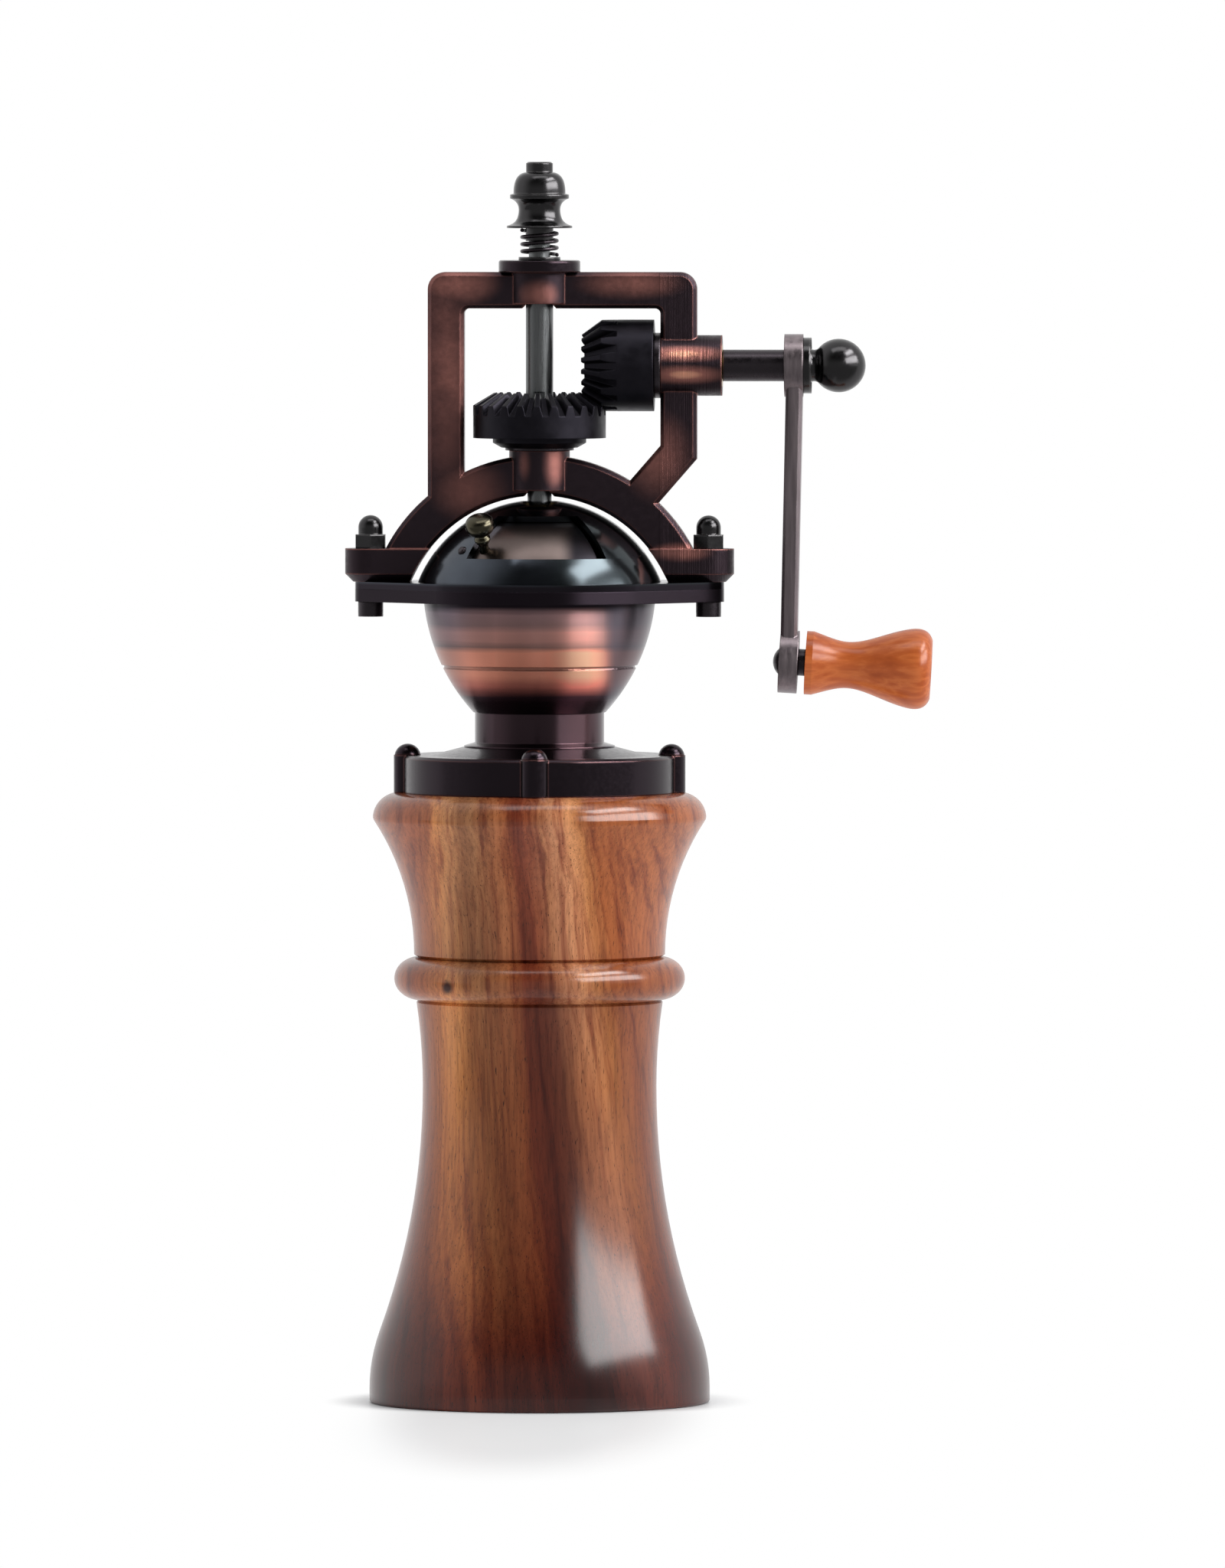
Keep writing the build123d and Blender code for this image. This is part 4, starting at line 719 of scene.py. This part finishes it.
# %% Brushing
NECK_ROUGHNESS, BRUSHED_ROUGHNESS = 0.24, 0.36
BRUSHED_FROM = (130.5, 132.5)  # millimetres up, where the neck passes into the bowl
QUARTER_TURN = 0.25
SCRATCH_DEPTH, FINE_EDGE = 0.00005, 0.0003  # metres

round_the_bowl = brushed.add("ShaderNodeTangent", direction_type="RADIAL", axis="Z").outputs[0]
scratches = brushed.noise(spot, (0.02, 0.02, 9.0), detail=2.0)
brushed.set(
    Base_Color=copper,
    Roughness=brushed.remap(height, *BRUSHED_FROM, NECK_ROUGHNESS, BRUSHED_ROUGHNESS),
    Anisotropic=0.9,
    Anisotropic_Rotation=QUARTER_TURN,
    Tangent=round_the_bowl,
    Normal=brushed.bump(scratches, 0.08, SCRATCH_DEPTH, brushed.soft_edges(FINE_EDGE)),
)
brushed.dress("bowl")

# %% [markdown]
# ## Blue-black dome
# The dome is polished harder than the castings and then blued, so it mirrors the lamps and shifts
# towards blue where it shines. The eared ring at its foot is left black. Plain black paint would
# look the same in the shade and dull in the light.

# %% Dome
DARKER_SIDE = (0.0, 6.0)  # millimetres across, from the start of the change to its end
MIRROR, SMEARED = 0.12, 0.19  # roughness between the smears and in them

blued = Metal("gunmetal_dome")
spot = blued.place()
across, _, height = blued.split(spot)
smears = blued.noise(spot, (0.15, 0.15, 0.15), detail=4.0)
steel = blued.mix(smears, paint(62, 65, 72), paint(84, 90, 98))
# The side towards the window is painted darker, which tones down the window's highlight on it.
steel = blued.mix(blued.remap(across, *DARKER_SIDE), steel, paint(58, 64, 67))
ring_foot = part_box("dome_seat")[0].z * MM
on_ring = blued.remap(height, ring_foot + 1.7, ring_foot + 0.7)
blued.set(
    Base_Color=blued.mix(on_ring, steel, paint(44, 40, 46)),
    Roughness=blued.remap(smears, *MOST_CLOUDS, MIRROR, SMEARED),
)
blued.dress("dome", "dome_seat")

# %% [markdown]
# ### Sliding door
# The door behind the window is a browner bronze. Its top is painted dark, a painted reflection, and
# its far end, where it slides under the dome, is painted shade from the window's edge. One tone
# would do for so small a piece, but the dark end is what shows that it slides.

# %% Door
DARK_REFLECTION_TOP = (162.0, 165.0)  # millimetres up, from the start of the change to its end
SHADED_END = (4.0, 7.5)  # millimetres across

door_bronze = Metal("door_bronze")
spot = door_bronze.place()
across, _, height = door_bronze.split(spot)
smears = door_bronze.noise(spot, (0.2, 0.2, 0.2), detail=4.0)
bronze = door_bronze.mix(smears, paint(84, 74, 72), paint(108, 96, 92))
# Painted dark reflection at the top and painted shade at the far end.
top, end = door_bronze.remap(height, *DARK_REFLECTION_TOP), door_bronze.remap(across, *SHADED_END)
reflection_and_shade = door_bronze.larger(top, end)
door_bronze.set(Base_Color=door_bronze.mix(reflection_and_shade, bronze, paint(34, 32, 36)), Roughness=0.28)
door_bronze.dress("shutter")

# %% [markdown]
# ## Gears, shafts and the crank arm
# The gears are cast and left matt black, so only their edges catch the light. The upright shaft is
# ground steel with a dark oil finish, and the arm is plated a warm pewter. Inside, the burrs, their
# nut and their plate are bare steel, and the two plain bushes are brass. Each could have a graph of
# its own, but one helper serves them all, because they differ only in tone, gloss and the way that
# they were ground.

# %% Plain metals
ROUGHER, SMOOTHER = 0.07, 0.05  # how far the streaks move the roughness each way


def plain_metal(name, light, dark, roughness, waves=(0.3, 0.3, 0.3)):
    """A metal with faint streaks along the way it was ground."""
    finish = Metal(name)
    streaks = finish.noise(finish.place(), waves, detail=4.0, roughness=0.6)
    finish.set(
        Base_Color=finish.mix(streaks, dark, light),
        Roughness=finish.remap(
            streaks, *MOST_CLOUDS, roughness - SMOOTHER, roughness + ROUGHER
        ),
        Normal=finish.bump(streaks, 0.06, SCRATCH_DEPTH, finish.soft_edges(FINE_EDGE)),
    )
    return finish


print("plain metals vary by", round(ROUGHER + SMOOTHER, 2), "in roughness")

# %% Gears, shaft and arm
black_gear = plain_metal("black_gear", paint(46, 44, 50), paint(29, 28, 33), 0.42)
black_gear.dress("drive_gear", "pinion")
shaft = plain_metal("shaft_steel", paint(126, 128, 128), paint(92, 94, 96), 0.30, (6, 6, 0.2))
shaft.dress("drive_shaft")
pewter = plain_metal(
    "crank_steel", paint(158, 146, 149), paint(82, 74, 78), 0.34, (0.8, 0.8, 0.05)
)
pewter.dress("crank_arm")

# %% Bushes, burrs and plate
brass = plain_metal("bush_brass", paint(196, 160, 96), paint(170, 134, 76), 0.3)
brass.dress("lower_bush", "crank_bush")
burr_steel = plain_metal("burr_steel", paint(190, 190, 194), paint(158, 158, 162), 0.28)
burr_steel.dress("guide_bridge", "stator_burr", "rotor_burr", "rotor_washer", "rotor_nut")
plate_steel = plain_metal("plate_steel", paint(206, 206, 210), paint(180, 180, 184), 0.32)
plate_steel.dress("retainer_plate", "plate_screws")

# %% [markdown]
# ## Floor
# The mill stands on a white sheet that runs out of sight. One flat square, far wider than the mill,
# does for it. A curved backdrop would hide the horizon too, but the metal would show its bend.

# %% Sheet
SHEET_SIDE = 12.0  # metres
SHEET_GAP = 0.00002  # metres under the foot, so that the two never share a plane

half = SHEET_SIDE / 2
sheet_mesh = bpy.data.meshes.new("floor")
corners = [(-half, -half, 0.0), (half, -half, 0.0), (half, half, 0.0), (-half, half, 0.0)]
sheet_mesh.from_pydata(corners, [], [(0, 1, 2, 3)])
floor = bpy.data.objects.new("floor", sheet_mesh)
floor.location.z = cad_low.z - SHEET_GAP
bpy.context.scene.collection.objects.link(floor)
print("floor", SHEET_SIDE, "m across")

# %% [markdown]
# Close to the foot, and more faintly in a long soft patch that reaches out to the front, the sheet
# is real paper, so it takes the mill's shadow and a faint reflection. Further out it fades to plain
# white, so no horizon shows. Real paper all the way would need far more light than the mill does. In
# polished metal the sheet looks dimmer towards the front, where the maker stands.

# %% Paper that fades to white
SHADOW_REACH = 10.0  # millimetres out from the foot
PATCH_CENTRE, PATCH_REACH = (0.0, -60.0, 0.0), (38.0, 150.0, 1.0)  # millimetres
PATCH_WHITE = 0.42  # share of plain white in the middle of the patch
PATCH_FADES_FROM = 0.45  # of its reach
DIM_FRONT = 0.3  # how bright the sheet's front looks in metal
DIMMEST_AT, BRIGHT_FROM = -120.0, 30.0  # millimetres of depth


def ray_kinds(graph):
    """1 for what the camera sees straight on, and 1 for what metal or glass shows it."""
    rays = graph.add("ShaderNodeLightPath").outputs
    return rays["Is Camera Ray"], graph.larger(rays["Is Glossy Ray"], rays["Is Transmission Ray"])


paper = Finish("white_sheet")
paper.set(Base_Color=paint(246, 249, 251), Roughness=0.35)
spot = paper.place()
foot_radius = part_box("wood_body")[1].x * MM
shadow_start = foot_radius - 0.75
from_foot = paper.remap(paper.vectors("LENGTH", spot), shadow_start, shadow_start + SHADOW_REACH)
off_patch = paper.distance(spot, PATCH_CENTRE, PATCH_REACH)
off_patch = paper.remap(off_patch, PATCH_FADES_FROM, 1.0, PATCH_WHITE, 1.0)
fade = paper.math("MINIMUM", from_foot, off_patch)
in_metal = ray_kinds(paper)[1]
dimmed = paper.remap(paper.split(spot)[1], DIMMEST_AT, BRIGHT_FROM, DIM_FRONT, 1.0)
brightness = paper.plus(1.0, paper.times(in_metal, paper.math("SUBTRACT", dimmed, 1.0)))
glow = paper.add("ShaderNodeEmission", {"Color": WHITE, "Strength": brightness}).outputs[0]
paper.feed(paper.out, "Surface", paper.blend_shaders(fade, paper.shader.outputs[0], glow))
sheet_mesh.materials.append(paper.material)
print("beside the foot the shadow fades out", round(shadow_start + SHADOW_REACH), "mm from the middle")

# %% [markdown]
# ## Room
# The room behind and beside the mill is white, and polished metal shows it. The side where the
# maker stands is dimmer, and dimmest high up, which keeps the dark castings dark. The camera itself
# sees plain white, and matt surfaces are lit by a little less than metal shows, so that the wood
# keeps its depth. An even white room would be simpler, but it would turn every casting pale.

# %% World
ROOM_LIGHT = 0.7  # what reaches matt surfaces, of what metal shows
FRONT_LEVEL, FRONT_OVERHEAD = 0.32, 0.07  # how bright the maker's side is, level and high up

world = bpy.data.worlds.new("studio")
bpy.context.scene.world = world
world.use_nodes = True
sky = Sums(world.node_tree)
across, depth, height = sky.split(sky.add("ShaderNodeTexCoord").outputs["Generated"])
towards_back = sky.plus(sky.times(sky.math("ABSOLUTE", across), 0.5), depth)
front = sky.remap(height, 0.15, 0.6, FRONT_LEVEL, FRONT_OVERHEAD)
room = sky.remap(towards_back, -0.5, 0.45, front, 1.0)


def backdrop(strength):
    return sky.add("ShaderNodeBackground", {"Color": WHITE, "Strength": strength}).outputs[0]


to_camera, to_metal = ray_kinds(sky)
seen_in_pieces = sky.blend_shaders(to_metal, backdrop(sky.times(room, ROOM_LIGHT)), backdrop(room))
seen = sky.blend_shaders(to_camera, seen_in_pieces, backdrop(1.0))
sky.add("ShaderNodeOutputWorld", {"Surface": seen})
print("room light", ROOM_LIGHT)

# %% [markdown]
# ## Lamps
# Two windows stand on the crank's side, a long low one and a small high one, and a strip hangs
# overhead for the tops of the dome, the nuts and the knobs. A real window looks far brighter in a
# varnish than the light that it throws on bare wood, and one strong lamp would bleach the wood. So
# each window is two lamps: one lights everything gently, and the other stands just in front of it,
# a little smaller so that it fills the same outline, and shows only in what shines.

# %% Lamps
LAMP_TARGET = Vector((0.0, 0.0, 0.12))
LOW, HIGH, OVERHEAD = (65, 25), (72, 51), (10, 78)  # degrees to the crank's side and upwards


def softbox(name, direction, distance, size, watts, shine_only=False):
    """A rectangular lamp that faces the mill, with its distance and its size in metres."""
    light = bpy.data.lights.new(name, "AREA")
    light.shape = "RECTANGLE"
    light.size, light.size_y = size
    light.energy = watts
    lamp = bpy.data.objects.new(name, light)
    stand_off(lamp, LAMP_TARGET, *direction, distance)
    lamp.visible_diffuse = not shine_only
    print(name, watts, "W,", size[0], "by", size[1], "m")


softbox("low_window", LOW, 1.2, (1.25, 0.46), watts=7.0)
softbox("low_window_shine", LOW, 1.17, (1.22, 0.45), watts=10.0, shine_only=True)
softbox("high_window", HIGH, 1.2, (0.75, 0.27), watts=2.0)
softbox("high_window_shine", HIGH, 1.17, (0.73, 0.265), watts=6.0, shine_only=True)
softbox("overhead_strip", OVERHEAD, 1.1, (0.9, 0.35), watts=2.5)

# %% [markdown]
# ## Finishing
# Colours are shown as they were mixed, with no film curve over them, which would grey the white
# sheet.

# %% Colours as mixed
bpy.context.scene.view_settings.view_transform = "Standard"
print("colours shown as", bpy.context.scene.view_settings.view_transform)
